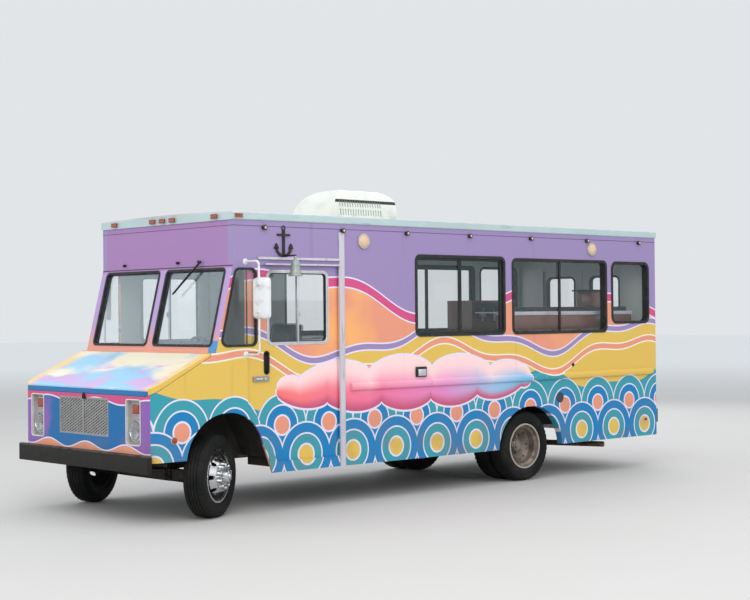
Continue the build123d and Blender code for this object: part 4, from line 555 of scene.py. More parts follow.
(_, ROOF_FRONT, _), (ROOF_EDGE, ROOF_REAR, ROOF_HIGH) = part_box("roof")
AC_LOW, AC_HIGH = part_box("air_conditioner")
RAIL_HIGH = ROOF_HIGH - 0.020
RIVET_Z = WALL_TOP + 0.018
RIVET_PITCH = 0.15
RIVET = 0.0065
SEAM_PITCH = 1.2
SEAM_WIDTH = 0.034
SEAM_SECTION = ((-0.5, -0.002), (-0.42, 0.0028), (0.42, 0.0028), (0.5, -0.002))
ROOF_LAMP_PLACES = (-0.890, -0.175, 0.0, 0.175, 0.890)
roof_paint = Finish("roof_paint", metallic=0.1)
streaks = roof_paint.noise(4.0, 4.0, (0.25, 1.4, 1.0))
rail = roof_paint.parts[2] < RAIL_HIGH - 0.004
edge_wear = roof_paint.noise(20.0, 4.0, (1, 0.15, 1)).fade(0.58, 0.74) * rail
colour = streaks.fade(0.35, 0.85).mix(linear(200, 205, 204), linear(176, 182, 180))
colour = (rail * 0.8).mix(colour, linear(176, 200, 202))
colour = (edge_wear * 0.45).mix(colour, linear(132, 142, 144))
roof_paint.colour((roof_paint.noise(0.9, 3.0).fade(0.55, 0.85) * 0.25).mix(colour, linear(140, 138, 128)))
roof_paint.rough(0.42 + 0.3 * streaks)
roof_paint.bump(roof_paint.noise(2.0, 2.0) + 0.02 * roof_paint.noise(180.0), 0.006, 0.4)
coat(roof_paint, "roof")
seams = Build()
for index in range(1, 6):
    seam_y = ROOF_FRONT + index * SEAM_PITCH - 0.12
    if seam_y + SEAM_WIDTH > AC_LOW.y and seam_y < AC_HIGH.y:
        continue
    rows = []
    for step in range(25):
        seam_x = (step / 12 - 1) * (ROOF_EDGE - 0.03)
        rise = RAIL_HIGH + (ROOF_HIGH - RAIL_HIGH) * (1 - (seam_x / ROOF_EDGE) ** 2)
        rows.append([
            seams.mesh.verts.new((seam_x, seam_y + a * SEAM_WIDTH, rise + b)) for a, b in SEAM_SECTION])
    seams.skin(rows)
for hand in HANDS:
    for index in range(44):
        rivet_y = ROOF_FRONT + 0.12 + index * RIVET_PITCH
        if rivet_y < ROOF_REAR - 0.05:
            seams.dome((hand * ROOF_EDGE, rivet_y, RIVET_Z), (hand, 0, 0), RIVET)
for index in range(-7, 8):
    rivet_x = index * RIVET_PITCH
    if min(abs(rivet_x - lamp) for lamp in ROOF_LAMP_PLACES) > 0.06:
        seams.dome((rivet_x, ROOF_FRONT, RIVET_Z), AHEAD, RIVET)
seams.finish("roof_seams", "roof_white", roof_paint)

# Air conditioner: a moulded white plastic cover over its louvres, screwed down round its foot to
# a gasket on the roof. Sun has yellowed it a little and dirt gathers towards its foot. Its louvres
# are painted as a near-black band on its sides: painted shade of their openings.
AC_SPAN = AC_HIGH - AC_LOW
AC_MIDDLE_Y = (AC_LOW.y + AC_HIGH.y) / 2
FOOT_WIDE = 0.035
FOOT_HIGH = 0.018
cover = Finish("cooler_cover", roughness=0.45, coat_weight=0.1)
x, _, z = cover.parts
foot = 1.0 - z.fade(AC_LOW.z, AC_LOW.z + 0.11)
grime = cover.noise(7.0, 5.0).fade(0.45, 0.75) * (0.15 + 0.5 * foot)
# The louvres on the sides are painted near black: painted shade in their openings
louvre_shade = (abs(x) < 0.322) * (abs(cover.facing[0]) > 0.6) * (z < AC_LOW.z + 0.25)
colour = cover.noise(1.5, 2.0).mix(linear(226, 230, 226), linear(214, 218, 208))
colour = grime.mix(colour, linear(120, 122, 112))
cover.colour(louvre_shade.mix(colour, linear(30, 32, 34)))
cover.bump(cover.noise(220.0, 3.0), 0.0008, 0.5)
coat(cover, "air_conditioner")
foot_ring = Build()
for run, size, place in (
        (0, (AC_SPAN.x + 0.07, FOOT_WIDE), (0, AC_LOW.y - 0.012)),
        (0, (AC_SPAN.x + 0.07, FOOT_WIDE), (0, AC_HIGH.y + 0.012)),
        (1, (FOOT_WIDE, AC_SPAN.y + 0.05), (AC_HIGH.x + 0.012, AC_MIDDLE_Y)),
        (1, (FOOT_WIDE, AC_SPAN.y + 0.05), (AC_LOW.x - 0.012, AC_MIDDLE_Y))):
    foot_ring.block((*place, AC_LOW.z + 0.005), (*size, FOOT_HIGH), 0.004)
    for step in range(-4, 5):
        spot = Vector((*place, AC_LOW.z + 0.0135))
        spot[run] += step / 4.5 * size[run] / 2
        foot_ring.dome(spot, UP, 0.007)
foot_ring.finish("cooler_foot", "cooler_white", cover)

# Glass: lightly tinted safety glass. It shows what stands inside, mirrors its surroundings more
# at a low angle, and carries a thin film of dust.
def glass(name, tint, veil):
    """Pane that mirrors with the veil's share of its surface and lets the rest through."""
    pane = Finish(name, roughness=0.03, metallic=0.7)
    dust = pane.noise(1.4, 2.0).fade(0.45, 0.95)
    pane.colour((dust * 0.3).mix(tint, linear(176, 176, 168)))
    pane.feed("Alpha", (veil + pane.edge * 0.6 + dust * 0.02).least(1.0))
    return pane


screen_glass = glass("screen_glass", linear(178, 194, 200), 0.13)
kitchen_glass = glass("kitchen_glass", linear(150, 166, 170), 0.08)
coat(screen_glass, "windscreen_glass")
coat(kitchen_glass, "side_glass")


# Gaskets: black rubber cords lock the panes in the sheet, chalked by the weather.
# Most plain finishes of the truck are in two tones, like this rubber.
def two_tone(name, grain, first, second, span=None, rough=None, bump=None, **constants):
    """Finish in two tones by a cloudy grain; rough is its base and the grain's share of it."""
    made = Finish(name, **constants)
    tone = made.noise(*grain)
    shade = tone.fade(*span) if span else tone
    made.colour(shade.mix(linear(*first), linear(*second)))
    if rough:
        made.rough(rough[0] + rough[1] * tone)
    if bump:
        *fine, distance, strength = bump
        made.bump(made.noise(*fine), distance, strength)
    return made


rubber = two_tone("black_rubber", (18.0, 5.0), (20, 21, 22), (48, 49, 48), span=(0.35, 0.75),
                  bump=(300.0, 2.0, 0.0006, 0.5), roughness=0.7)
coat(rubber, "window_gaskets")

# Tyres: steel-belted truck tyres with five ribs cut by zigzag grooves and open shoulder slots.
# The rubber is worn and dusty on its ribs and browned on its walls.
TYRE_LOW, TYRE_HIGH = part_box("tyre_front_left")
TYRE_RADIUS = (TYRE_HIGH.z - TYRE_LOW.z) / 2
STEER_REST = radians(28)
REAR_OUTER_X = 0.995
REAR_INNER_X = 0.725
PITCHES = 46
SHOULDER_RADIUS = 0.385
SLOT_DEPTH = 0.008
GROOVE_DEPTH = 0.011
GROOVE_CENTRES = (-0.050, -0.017, 0.017, 0.050)
GROOVE_HALF = 0.0045
ZIGZAG = 0.0035
WALL_PROFILE = [
    (0.086, 0.2515), (0.0865, 0.263), (0.097, 0.272), (0.106, 0.290), (0.1115, 0.312), (0.1122, 0.327),
    (0.1100, 0.334), (0.1118, 0.338), (0.1110, 0.352), (0.1065, 0.369), (0.1020, 0.380), (0.0975, 0.389),
    (0.0920, 0.3962), (0.0860, 0.4003)]
tread_rubber = Finish("tread_rubber", roughness=0.75, specular_ior_level=0.2)
colour = tread_rubber.noise(26.0, 5.0).mix(linear(11, 13, 13), linear(22, 24, 24))
dusty = tread_rubber.noise(4.0, 3.0).fade(0.35, 0.75)
tread_rubber.colour((dusty * 0.22).mix(colour, linear(76, 72, 66)))
tread_rubber.bump(tread_rubber.noise(420.0, 3.0), 0.0005, 0.6)


def tyre(build, centre, axis):
    """One tyre about its middle plane, with its tread cut into the crown."""
    tread = [
        (place + shift * GROOVE_HALF, deep) for place in GROOVE_CENTRES
        for shift, deep in ((-1, 0), (-0.7, 1), (0.7, 1), (1, 0))]
    rings = []
    for step, out in enumerate(spokes(axis, PITCHES * 4)):
        zag = ZIGZAG * (1, 0, -1, 0)[step % 4]
        slot = SLOT_DEPTH if step % 4 in (2, 3) else 0.0
        wall = [(a, r - (slot if r > SHOULDER_RADIUS else 0.0)) for a, r in WALL_PROFILE]
        crown = [
            (a + zag, TYRE_RADIUS - 0.0012 - 0.45 * a * a - deep * GROOVE_DEPTH) for a, deep in tread]
        profile = [(-a, r) for a, r in wall] + crown + wall[::-1]
        rings.append([build.mesh.verts.new(Vector(centre) + axis * a + out * r) for a, r in profile])
    build.skin(rings, closed=True)


front_wheels = {}
for side_name, hand in SIDES:
    low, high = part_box("tyre_front_" + side_name)
    centre, axis = (low + high) / 2, Vector((cos(STEER_REST), sin(STEER_REST), 0)) * hand
    front_wheels[side_name] = (centre, axis)
    build = Build()
    tyre(build, centre, axis)
    build.finish("tyre_" + side_name, "tyre_rubber", tread_rubber, "wheel_front_" + side_name,
                 replaces=("tyre_front_" + side_name,))
    low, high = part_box("tyres_rear_" + side_name)
    build = Build()
    for place in (REAR_OUTER_X, REAR_INNER_X):
        tyre(build, (hand * place, *((low + high) / 2).yz), Vector((hand, 0, 0)))
    build.finish("twin_tyres_" + side_name, "tyre_rubber", tread_rubber, "wheels_rear_" + side_name,
                 replaces=("tyres_rear_" + side_name,))

# Wheels: the front ones wear bright chromed steel with tall nut covers, and inside the barrel they
# are painted near black and matt, partly brake dust and partly painted shade. The rear ones are
# plain silver-grey steel with a paler rim flange and bare nuts.
DISC_OFFSET = 0.135
STUDS = 10
STUD_CIRCLE = 0.112
BARREL_DEPTH = 0.078
REAR_WHEEL_Y = (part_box("tyres_rear_left")[0].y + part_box("tyres_rear_left")[1].y) / 2
COVER = [
    (0, 0.0185), (0.004, 0.0185), (0.007, 0.0165), (0.034, 0.0158), (0.041, 0.0135), (0.046, 0.008),
    (0.047, 0)]
NUT = [
    (0, 0.021), (0.004, 0.021), (0.0045, 0.0165), (0.020, 0.0165), (0.023, 0.013), (0.023, 0.009),
    (0.036, 0.009), (0.0405, 0.007), (0.0405, 0)]


def chromed(finish):
    """Colour, haze and blur of chrome under road dust."""
    haze = finish.noise(6.0, 5.0)
    road_dust = finish.noise(30.0, 5.0).fade(0.55, 0.72)
    shine = (road_dust * 0.5).mix(linear(206, 208, 210), linear(120, 104, 90))
    return shine, haze, 0.22 * haze.fade(0.45, 0.8) + 0.3 * road_dust


chrome = Finish("bright_chrome", metallic=1.0)
shine, _, blur = chromed(chrome)
chrome.colour(shine)
chrome.rough(0.10 + blur)
rim_chrome = Finish("rim_chrome")
x, y, _ = rim_chrome.parts
front_centre = front_wheels["left"][0]
outward = (x > 0.0) * 2.0 - 1.0
reach = outward * (x * cos(STEER_REST) + (y - front_centre.y) * sin(STEER_REST))
bright = (reach - front_centre.x * cos(STEER_REST)).fade(BARREL_DEPTH - 0.004, BARREL_DEPTH + 0.004)
shine, haze, blur = chromed(rim_chrome)
# Inside the barrel the rim is painted near black and matt: painted shade, with some brake dust
rim_chrome.colour(bright.mix(haze.mix(linear(14, 13, 13), linear(34, 31, 29)), shine))
rim_chrome.rough(0.85 - bright * (0.72 - blur))
rim_chrome.feed("Metallic", bright)
steel_wheel = Finish("wheel_steel", metallic=0.55)
_, y, z = steel_wheel.parts
grime = steel_wheel.noise(9.0, 5.0)
out = ((y - REAR_WHEEL_Y) * (y - REAR_WHEEL_Y) + (z - TYRE_RADIUS) * (z - TYRE_RADIUS)) ** 0.5
colour = grime.fade(0.3, 0.75).mix(linear(158, 148, 138), linear(96, 86, 78))
colour = (out > 0.243).mix(colour, linear(176, 170, 160))
rust = steel_wheel.noise(22.0, 5.0).fade(0.60, 0.72) * (out < 0.20)
steel_wheel.colour(rust.mix(colour, linear(104, 62, 40)))
steel_wheel.rough(0.45 + 0.4 * grime)
steel_wheel.bump(steel_wheel.noise(90.0, 4.0), 0.0008, 0.4)
coat(rim_chrome, "rim_front_left", "rim_front_right")
coat(steel_wheel, "rims_rear_left", "rims_rear_right")


def ring_places(centre, axis, radius, count, start=0.0):
    """Points evenly round an axis, the first of them above it."""
    other = axis.cross(UP)
    turns = [tau * (index + start) / count for index in range(count)]
    return [centre + (UP * cos(t) + other * sin(t)) * radius for t in turns]


for side_name, hand in SIDES:
    centre, axis = front_wheels[side_name]
    covers = Build()
    for place in ring_places(centre + axis * DISC_OFFSET, axis, STUD_CIRCLE, STUDS):
        covers.lathe(COVER, place, axis, 16)
    # Hub cap's rolled edge and its small centre button, and the valve
    hub = centre + axis * (DISC_OFFSET + 0.001)
    covers.lathe([(0, 0.078), (0.007, 0.078), (0.010, 0.073), (0.006, 0.066), (0, 0.066)], hub, axis, 48)
    covers.lathe([(0.0775, 0.030), (0.084, 0.028), (0.090, 0.018), (0.091, 0)], hub, axis)
    for ends, radius in (((0.060, 0.085), 0.004), ((0.085, 0.100), 0.0055)):
        covers.tube([centre - UP * 0.232 + axis * a for a in ends], radius, 8)
    covers.finish("nut_covers_" + side_name, "wheel_chrome", chrome, "wheel_front_" + side_name)
    nuts = Build()
    out = Vector((hand, 0, 0))
    middle = Vector((hand * REAR_OUTER_X, REAR_WHEEL_Y, TYRE_RADIUS))
    for place in ring_places(middle - out * DISC_OFFSET, out, STUD_CIRCLE, STUDS):
        nuts.lathe(NUT, place, out, 6)
    hub_end = Vector((hand * (REAR_INNER_X + 0.24), REAR_WHEEL_Y, TYRE_RADIUS))
    for place in ring_places(hub_end - out * 0.008, out, 0.058, 8, 0.5):
        nuts.lathe([(0, 0.009), (0.010, 0.009), (0.012, 0.007), (0.012, 0)], place, out, 6)
    nuts.lathe([(0, 0.040), (0.006, 0.038), (0.012, 0.030), (0.014, 0)], hub_end, out)
    nuts.tube([middle + Vector((0, 0.225, 0)) - out * a for a in (0.02, -0.03)], 0.004, 8)
    nuts.finish("wheel_nuts_" + side_name, "wheel_steel", steel_wheel, "wheels_rear_" + side_name)

# Front bumper: a thick folded steel channel with welded ends, in worn black paint, bolted through
# its face. Its top edge is rubbed to bare metal, and its two face plates meet off centre.
BUMPER_LOW, BUMPER_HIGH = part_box("front_bumper")
BUMPER_DEEP = NOSE_Y - BUMPER_LOW.y
BUMPER_SHEET = 0.008
BUMPER_BEND = 0.009
BUMPER_SEAM_X = -0.371
BUMPER_Z = (BUMPER_LOW.z + BUMPER_HIGH.z) / 2
BUMPER_HALF = (BUMPER_HIGH.z - BUMPER_LOW.z) / 2
black_steel = Finish("black_bumper", metallic=0.1, specular_ior_level=0.25)
x, _, z = black_steel.parts
wear = black_steel.noise(11.0, 5.0)
top_edge = z.fade(BUMPER_HIGH.z - 0.022, BUMPER_HIGH.z - 0.004)
scratch = black_steel.noise(22.0, 4.0, (0.15, 1.0, 1.6)).fade(0.66, 0.76)
colour = wear.mix(linear(22, 20, 18), linear(37, 34, 31))
colour = ((top_edge * 0.45) * wear.fade(0.3, 0.6)).mix(colour, linear(118, 106, 98))
colour = (scratch * 0.35).mix(colour, linear(112, 102, 94))
black_steel.colour(((abs(x - BUMPER_SEAM_X) < 0.008) * 0.95).mix(colour, linear(2, 2, 2)))
black_steel.rough(0.42 + 0.3 * wear)
black_steel.bump(wear * 0.6 + 0.1 * black_steel.noise(150.0, 2.0), 0.0015, 0.4)
inner_half = BUMPER_HALF - BUMPER_SHEET
turns = [pi / 8 * k for k in range(5)]
bend = [(BUMPER_BEND * (1 - sin(t)), BUMPER_HALF - BUMPER_BEND * (1 - cos(t))) for t in turns]
section = [
    (BUMPER_DEEP, -BUMPER_HALF), *[(a, -b) for a, b in bend], *reversed(bend), (BUMPER_DEEP, BUMPER_HALF),
    (BUMPER_DEEP, inner_half), (BUMPER_SHEET, inner_half), (BUMPER_SHEET, -inner_half),
    (BUMPER_DEEP, -inner_half)]
channel, rows = Build(), []
for end in (BUMPER_LOW.x + BUMPER_SHEET / 2, BUMPER_HIGH.x - BUMPER_SHEET / 2):
    rows.append(channel.loop([(end, BUMPER_LOW.y + a, BUMPER_Z + b) for a, b in section]))
    channel.block((end, BUMPER_LOW.y + BUMPER_DEEP / 2 + 0.001, BUMPER_Z),
                  (BUMPER_SHEET, BUMPER_DEEP - 0.002, 2 * BUMPER_HALF - 0.004), 0.002)
channel.loft(rows)
channel.finish("bumper_channel", "bumper_black", black_steel, replaces=("front_bumper",))
bolts = Build()
for place in (-0.95, -0.46, -0.29, 0.29, 0.46, 0.95):
    for rise in (0.045, -0.045):
        bolts.dome((place, BUMPER_LOW.y + 0.0005, BUMPER_Z + rise), AHEAD, 0.011, 0.0005, 12)
bolts.finish("bumper_bolts", "bumper_black", black_steel)

# Grille and headlamp bezels: pressed steel in dull silver paint. Road film darkens the mesh of the
# grille between its slots, and a black catch for the hood sits on top of it.
GRILLE_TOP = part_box("grille")[1].z
CATCH_X = 0.02
LAMP_X = 0.872
HEADLAMP_Z = 0.885
TURN_Z = 1.085
BEZEL_HALF = (0.125, 0.220)
BEZEL_Z = 0.963
LAMP_BACK = NOSE_Y + 0.059
silver = Finish("grille_silver", metallic=0.45)
film = silver.noise(12.0, 5.0)
fine = silver.noise(70.0, 4.0)
colour = film.mix(linear(172, 172, 172), linear(134, 132, 130))
silver.colour((fine.fade(0.55, 0.7) * 0.4).mix(colour, linear(88, 82, 76)))
silver.rough(0.38 + 0.35 * fine)
silver.bump(fine, 0.0006, 0.5)
coat(silver, "grille")
behind = two_tone("grille_shadow", (8.0,), (14, 14, 15), (26, 25, 24), roughness=0.9)
catch = Build()
for out, rise, size, bevel in (
        (0.006, -0.006, (0.060, 0.012, 0.022), 0.003), (0.011, 0.012, (0.036, 0.014, 0.040), 0.004),
        (0.009, 0.036, (0.016, 0.010, 0.018), 0.003)):
    catch.block((CATCH_X, NOSE_Y - out, GRILLE_TOP + rise), size, bevel)
for shift in (-0.022, 0.022):
    catch.dome((CATCH_X + shift, NOSE_Y - 0.012, GRILLE_TOP - 0.006), AHEAD, 0.004)
catch.finish("hood_catch", "frame_black", behind)
bezel_paint = Finish("bezel_paint", metallic=0.25)
film = bezel_paint.noise(15.0, 5.0)
# Deeper than 2 cm behind the nose, inside the bezels' recesses, the paint is darker: painted shade
inner = bezel_paint.parts[1] > NOSE_Y + 0.02
colour = film.mix(linear(236, 236, 234), linear(198, 196, 192))
bezel_paint.colour((inner * 0.45).mix(colour, linear(150, 148, 146)))
bezel_paint.rough(0.35 + 0.3 * film)
bezel_paint.bump(film, 0.001, 0.3)
coat(bezel_paint, "lamp_bezels")
LAMP_RING = [
    (0, 0.108), (0.030, 0.108), (0.036, 0.103), (0.036, 0.096), (0.030, 0.0925), (0.012, 0.0925), (0, 0.098)]
trim = Build()
for hand in HANDS:
    # Bright ring round the lamp, a bright frame round the turn lamp and four bezel screws
    lamp_x = hand * LAMP_X
    trim.lathe(LAMP_RING, (lamp_x, LAMP_BACK, HEADLAMP_Z), AHEAD, 56)
    trim.frame(rounded(0.136, 0.112, 0.014), rounded(0.116, 0.092, 0.008), 0.024,
               (lamp_x, LAMP_BACK, TURN_Z), (1, 0, 0))
    for shift in (0.0055 - BEZEL_HALF[0], BEZEL_HALF[0] - 0.0055):
        for rise in (0.030 - BEZEL_HALF[1], BEZEL_HALF[1] - 0.030):
            trim.dome((lamp_x + shift, NOSE_Y - 0.004, BEZEL_Z + rise), AHEAD, 0.004)
trim.finish("lamp_trim", "bezel_grey", chrome)

# Headlamps: sealed beams, each a silvered bowl behind a fluted glass face with a dark capsule in
# its middle, held by the bright ring.
bowl = Finish("lamp_bowl", metallic=1.0)
bowl.colour(bowl.noise(20.0).mix(linear(104, 104, 106), linear(160, 160, 162)))
bowl.rough(0.16 + 0.2 * bowl.noise(30.0))
lens_glass = Finish("lamp_glass", roughness=0.05, coat_weight=0.4)
x, _, z = lens_glass.parts
flutes = (x * 420.0).sine()
lens_glass.colour((flutes * 0.5 + 0.5).mix(linear(206, 212, 214), linear(238, 242, 244)))
lens_glass.feed("Alpha", (0.16 + lens_glass.edge + 0.08 * flutes).least(1.0))
lens_glass.bump(flutes * 0.6 + (z * 160.0).sine() * 0.3, 0.002, 0.7)
bowls, lenses = Build(), Build()
for hand in HANDS:
    at = (hand * LAMP_X, LAMP_BACK, HEADLAMP_Z)
    bowls.lathe([(0.0, 0.0), (0.001, 0.030), (0.008, 0.055), (0.020, 0.078), (0.030, 0.0915), (0.0, 0.0915)],
                at, AHEAD, 48)
    bowls.lathe([(0.002, 0.0), (0.002, 0.014), (0.020, 0.012), (0.024, 0.007), (0.024, 0.0)], at, AHEAD, 20)
    lenses.lathe([(0.031, 0.0925), (0.034, 0.085), (0.039, 0.065), (0.0425, 0.035), (0.044, 0.0)],
                 at, AHEAD, 48)
bowls.finish("lamp_bowls", "lamp_glass", bowl)
lenses.finish("lamp_lenses", "lamp_glass", lens_glass, replaces=("headlamps",))


# Signal lamps: ribbed amber and red lenses on pale bases. They are clipped along the roof's edge,
# set in the bezels and screwed to the sides and the rear.
def lens_finish(name, bright, deep):
    """Ribbed coloured lens with dirt on it, which glows a little of itself."""
    lens = Finish(name, roughness=0.22, coat_weight=0.3, specular_ior_level=0.35, emission_strength=0.06)
    rib = (lens.parts[2] * 700.0).sine() * 0.5 + 0.5
    dirt = lens.noise(40.0, 4.0).fade(0.5, 0.75)
    lens.colour((dirt * 0.4).mix(rib.mix(deep, bright), linear(92, 66, 48)))
    lens.feed("Emission Color", rib.mix((0, 0, 0), deep))
    lens.bump(rib, 0.0012, 0.6)
    return lens


def long_lamp(lens, spot, out, wide):
    """Clearance lamp on its base: spot is on the sheet, and out points away from it."""
    spot, out, wide = Vector(spot), Vector(out), Vector(wide)
    turn = Matrix((wide, out, wide.cross(out))).transposed()
    bases.block(spot + out * 0.003, (0.104, 0.006, 0.040), 0.002, turn)
    lens.block(spot + out * 0.013, (0.084, 0.020, 0.030), 0.007, turn, 3)
    for end in (-0.047, 0.047):
        bases.dome(spot + wide * end + out * 0.006, out, 0.003)


ROOF_LAMP_Z = 2.940
amber_lens = lens_finish("amber_lens", linear(184, 70, 8), linear(112, 34, 3))
red_lens = lens_finish("red_lens", linear(206, 40, 30), linear(140, 12, 12))
lamp_base = two_tone("lamp_base", (30.0, 4.0), (208, 208, 202), (168, 166, 160),
                     bump=(200.0, 3.0, 0.0004, 0.5), roughness=0.4)
amber, red, bases = Build(), Build(), Build()
for place in ROOF_LAMP_PLACES:
    long_lamp(amber, (place, ROOF_FRONT, ROOF_LAMP_Z), AHEAD, (1, 0, 0))
for hand in HANDS:
    out = (hand, 0, 0)
    long_lamp(amber, (hand * ROOF_EDGE, along(0.060), ROOF_LAMP_Z), out, (0, 1, 0))
    long_lamp(red, (hand * 0.980, ROOF_REAR, ROOF_LAMP_Z), (0, 1, 0), (1, 0, 0))
    amber.block((hand * LAMP_X, LAMP_BACK - 0.016, TURN_Z), (0.110, 0.032, 0.087), 0.006, segments=3)
    # Round side marker with a domed lens, and the small oblong one near the rear
    at = (hand * WALL_X, along(-0.712), 0.790)
    bases.lathe([(0, 0.036), (0.005, 0.036), (0.007, 0.033), (0.007, 0.0)], at, out, 28)
    amber.lathe([(0.007, 0.031), (0.010, 0.031), (0.014, 0.024), (0.016, 0.012), (0.016, 0)], at, out, 28)
    bases.block((hand * (WALL_X + 0.002), along(6.530), 0.603), (0.004, 0.066, 0.044), 0.0015)
    red.block((hand * (WALL_X + 0.006), along(6.530), 0.603), (0.008, 0.054, 0.034), 0.003)
    for lens, rise in ((red, 1.500), (amber, 1.380)):
        at = (hand * 0.930, REAR_Y, rise)
        bases.lathe([(0, 0.055), (0.007, 0.055), (0.009, 0.052), (0.009, 0)], at, (0, 1, 0))
        lens.lathe([(0.008, 0.049), (0.014, 0.048), (0.018, 0.038), (0.020, 0.018), (0.020, 0)],
                   at, (0, 1, 0))
amber.finish("amber_lenses", "lamp_amber", amber_lens)
red.finish("red_lenses", "lamp_amber", red_lens)
bases.finish("lamp_bases", "lamp_white", lamp_base, replaces=("marker_lamps",))

# Wall lamps: peach-coloured domed porch lamps in turned rims, and a row of black lamp sockets with
# white glass tips along the top of the walls.
PORCH_RIM = [(0, 0.081), (0.012, 0.082), (0.020, 0.078), (0.022, 0.068), (0.016, 0.062), (0, 0.062)]
PORCH_DOME = [(0.014, 0.066), (0.022, 0.062), (0.032, 0.046), (0.038, 0.024), (0.040, 0)]
SOCKET = [
    (0, 0.024), (0.004, 0.024), (0.007, 0.014), (0.011, 0.014), (0.016, 0.022), (0.023, 0.027),
    (0.030, 0.0275), (0.036, 0.024), (0.039, 0.018), (0.036, 0.014)]
porch = two_tone("porch_cream", (9.0, 4.0), (234, 200, 166), (210, 174, 140),
                 bump=(120.0, 3.0, 0.0006, 0.4), roughness=0.35, coat_weight=0.3)
holder_metal = two_tone("holder_metal", (25.0, 4.0), (214, 212, 206), (160, 156, 148), metallic=0.4)
holder_metal.rough(0.35 + 0.3 * holder_metal.noise(40.0))
socket_black = two_tone("socket_black", (40.0, 3.0), (22, 21, 22), (44, 41, 40),
                        roughness=0.28, coat_weight=0.4)
domes, holders, sockets = Build(), Build(), Build()
for hand in HANDS:
    for place in (1.717, 5.484):
        at = (hand * WALL_X, along(place), WALL_TOP - 0.170)
        holders.lathe(PORCH_RIM, at, (hand, 0, 0), 44)
        domes.lathe(PORCH_DOME, at, (hand, 0, 0), 36)
    for place in (0.382, 1.421, 2.346, 3.330, 4.363, 5.390, 6.409):
        at = (hand * WALL_X, along(place), WALL_TOP - 0.070)
        sockets.lathe(SOCKET, at, (hand, 0, 0), 24)
        domes.lathe([(0.036, 0.0142), (0.041, 0.011), (0.044, 0.005), (0.044, 0)], at, (hand, 0, 0), 20)
domes.finish("porch_domes", "lamp_white", porch)
holders.finish("lamp_holders", "lamp_white", holder_metal, replaces=("wall_lamps",))
sockets.finish("lamp_sockets", "frame_black", socket_black)

# Mirrors: tall moulded heads on looped steel arms that are bolted above and below the quarter
# window. Both are painted white, and the glass is set in the rear face under a rubber lip.
ARM_X = 1.370
ARM_Y = along(0.150)
ARM_HIGH = 2.490
ARM_LOW = 1.580
ARM_BEND = 0.045
HEAD_PLACE = (1.370, along(0.170) + 0.008, 2.128)
HEAD_TURN = radians(24)
HEAD_SIZE = (0.178, 0.062, 0.406)
# Rings of the shell from its back to its front, as share of its depth and how much each shrinks
HEAD_RINGS = (
    (-0.5, 0.0), (-0.44, -0.002), (-0.1, 0.001), (0.2, 0.004), (0.38, 0.012), (0.47, 0.026), (0.5, 0.045))
ARM_FOOT = [(0, 0.030), (0.004, 0.030), (0.007, 0.026), (0.009, 0.016), (0.018, 0.0145), (0.018, 0.011)]
mirror_white = Finish("mirror_white", roughness=0.35, coat_weight=0.3)
scrape = mirror_white.noise(10.0, 5.0)
mirror_white.colour((scrape.fade(0.52, 0.72) * 0.6).mix(linear(226, 228, 230), linear(168, 168, 164)))
mirror_white.bump(scrape, 0.0008, 0.3)
mirror_glass = two_tone("mirror_glass", (3.0,), (176, 184, 190), (196, 202, 206), metallic=1.0)
mirror_glass.rough(0.03 + 0.10 * mirror_glass.noise(14.0, 4.0).fade(0.5, 0.8))
shells, glasses, lips = Build(), Build(), Build()
for hand in HANDS:
    turn = Matrix.Rotation(hand * HEAD_TURN, 3, "Z")
    right = turn @ Vector((1, 0, 0))
    head = Vector((hand * HEAD_PLACE[0], *HEAD_PLACE[1:]))
    rings = []
    for share, shrink in HEAD_RINGS:
        outline = rounded(HEAD_SIZE[0] - 2 * shrink, HEAD_SIZE[2] - 2 * shrink, 0.042 - 0.4 * shrink)
        rings.append(shells.ring(outline, share * HEAD_SIZE[1], head, right))
    shells.loft(rings)
    lip_back = head + turn @ Vector((0, 0.0305, 0))
    lips.frame(rounded(0.172, 0.398, 0.040), rounded(0.156, 0.382, 0.032), -0.003, lip_back, right)
    glasses.plate(rounded(0.157, 0.383, 0.033), -0.0015, lip_back, right)
    arm = [(hand * WALL_X, ARM_Y, ARM_HIGH)]
    for middle_z, first in ((ARM_HIGH - ARM_BEND, 0), (ARM_LOW + ARM_BEND, 1)):
        for step in range(7):
            bend = pi / 2 * (step / 6 + first)
            reach = ARM_X - ARM_BEND + ARM_BEND * sin(bend)
            arm.append((hand * reach, ARM_Y, middle_z + ARM_BEND * cos(bend)))
    shells.tube([*arm, (hand * WALL_X, ARM_Y, ARM_LOW)], 0.011, 14)
    for rise in (ARM_HIGH, ARM_LOW):
        shells.lathe(ARM_FOOT, (hand * WALL_X, ARM_Y, rise), (hand, 0, 0), 24)
        for shift in (-0.021, 0.021):
            lips.dome((hand * (WALL_X + 0.006), ARM_Y, rise + shift), (hand, 0, 0), 0.0045)
    for shift in (0.135, -0.135):
        shells.block((hand * ARM_X, ARM_Y - 0.002, HEAD_PLACE[2] + shift), (0.030, 0.040, 0.020), 0.004)
shells.finish("mirror_shells", "mirror_white", mirror_white, replaces=("mirrors",))
glasses.finish("mirror_glasses", "mirror_white", mirror_glass)
lips.finish("mirror_lips", "rubber_black", rubber)

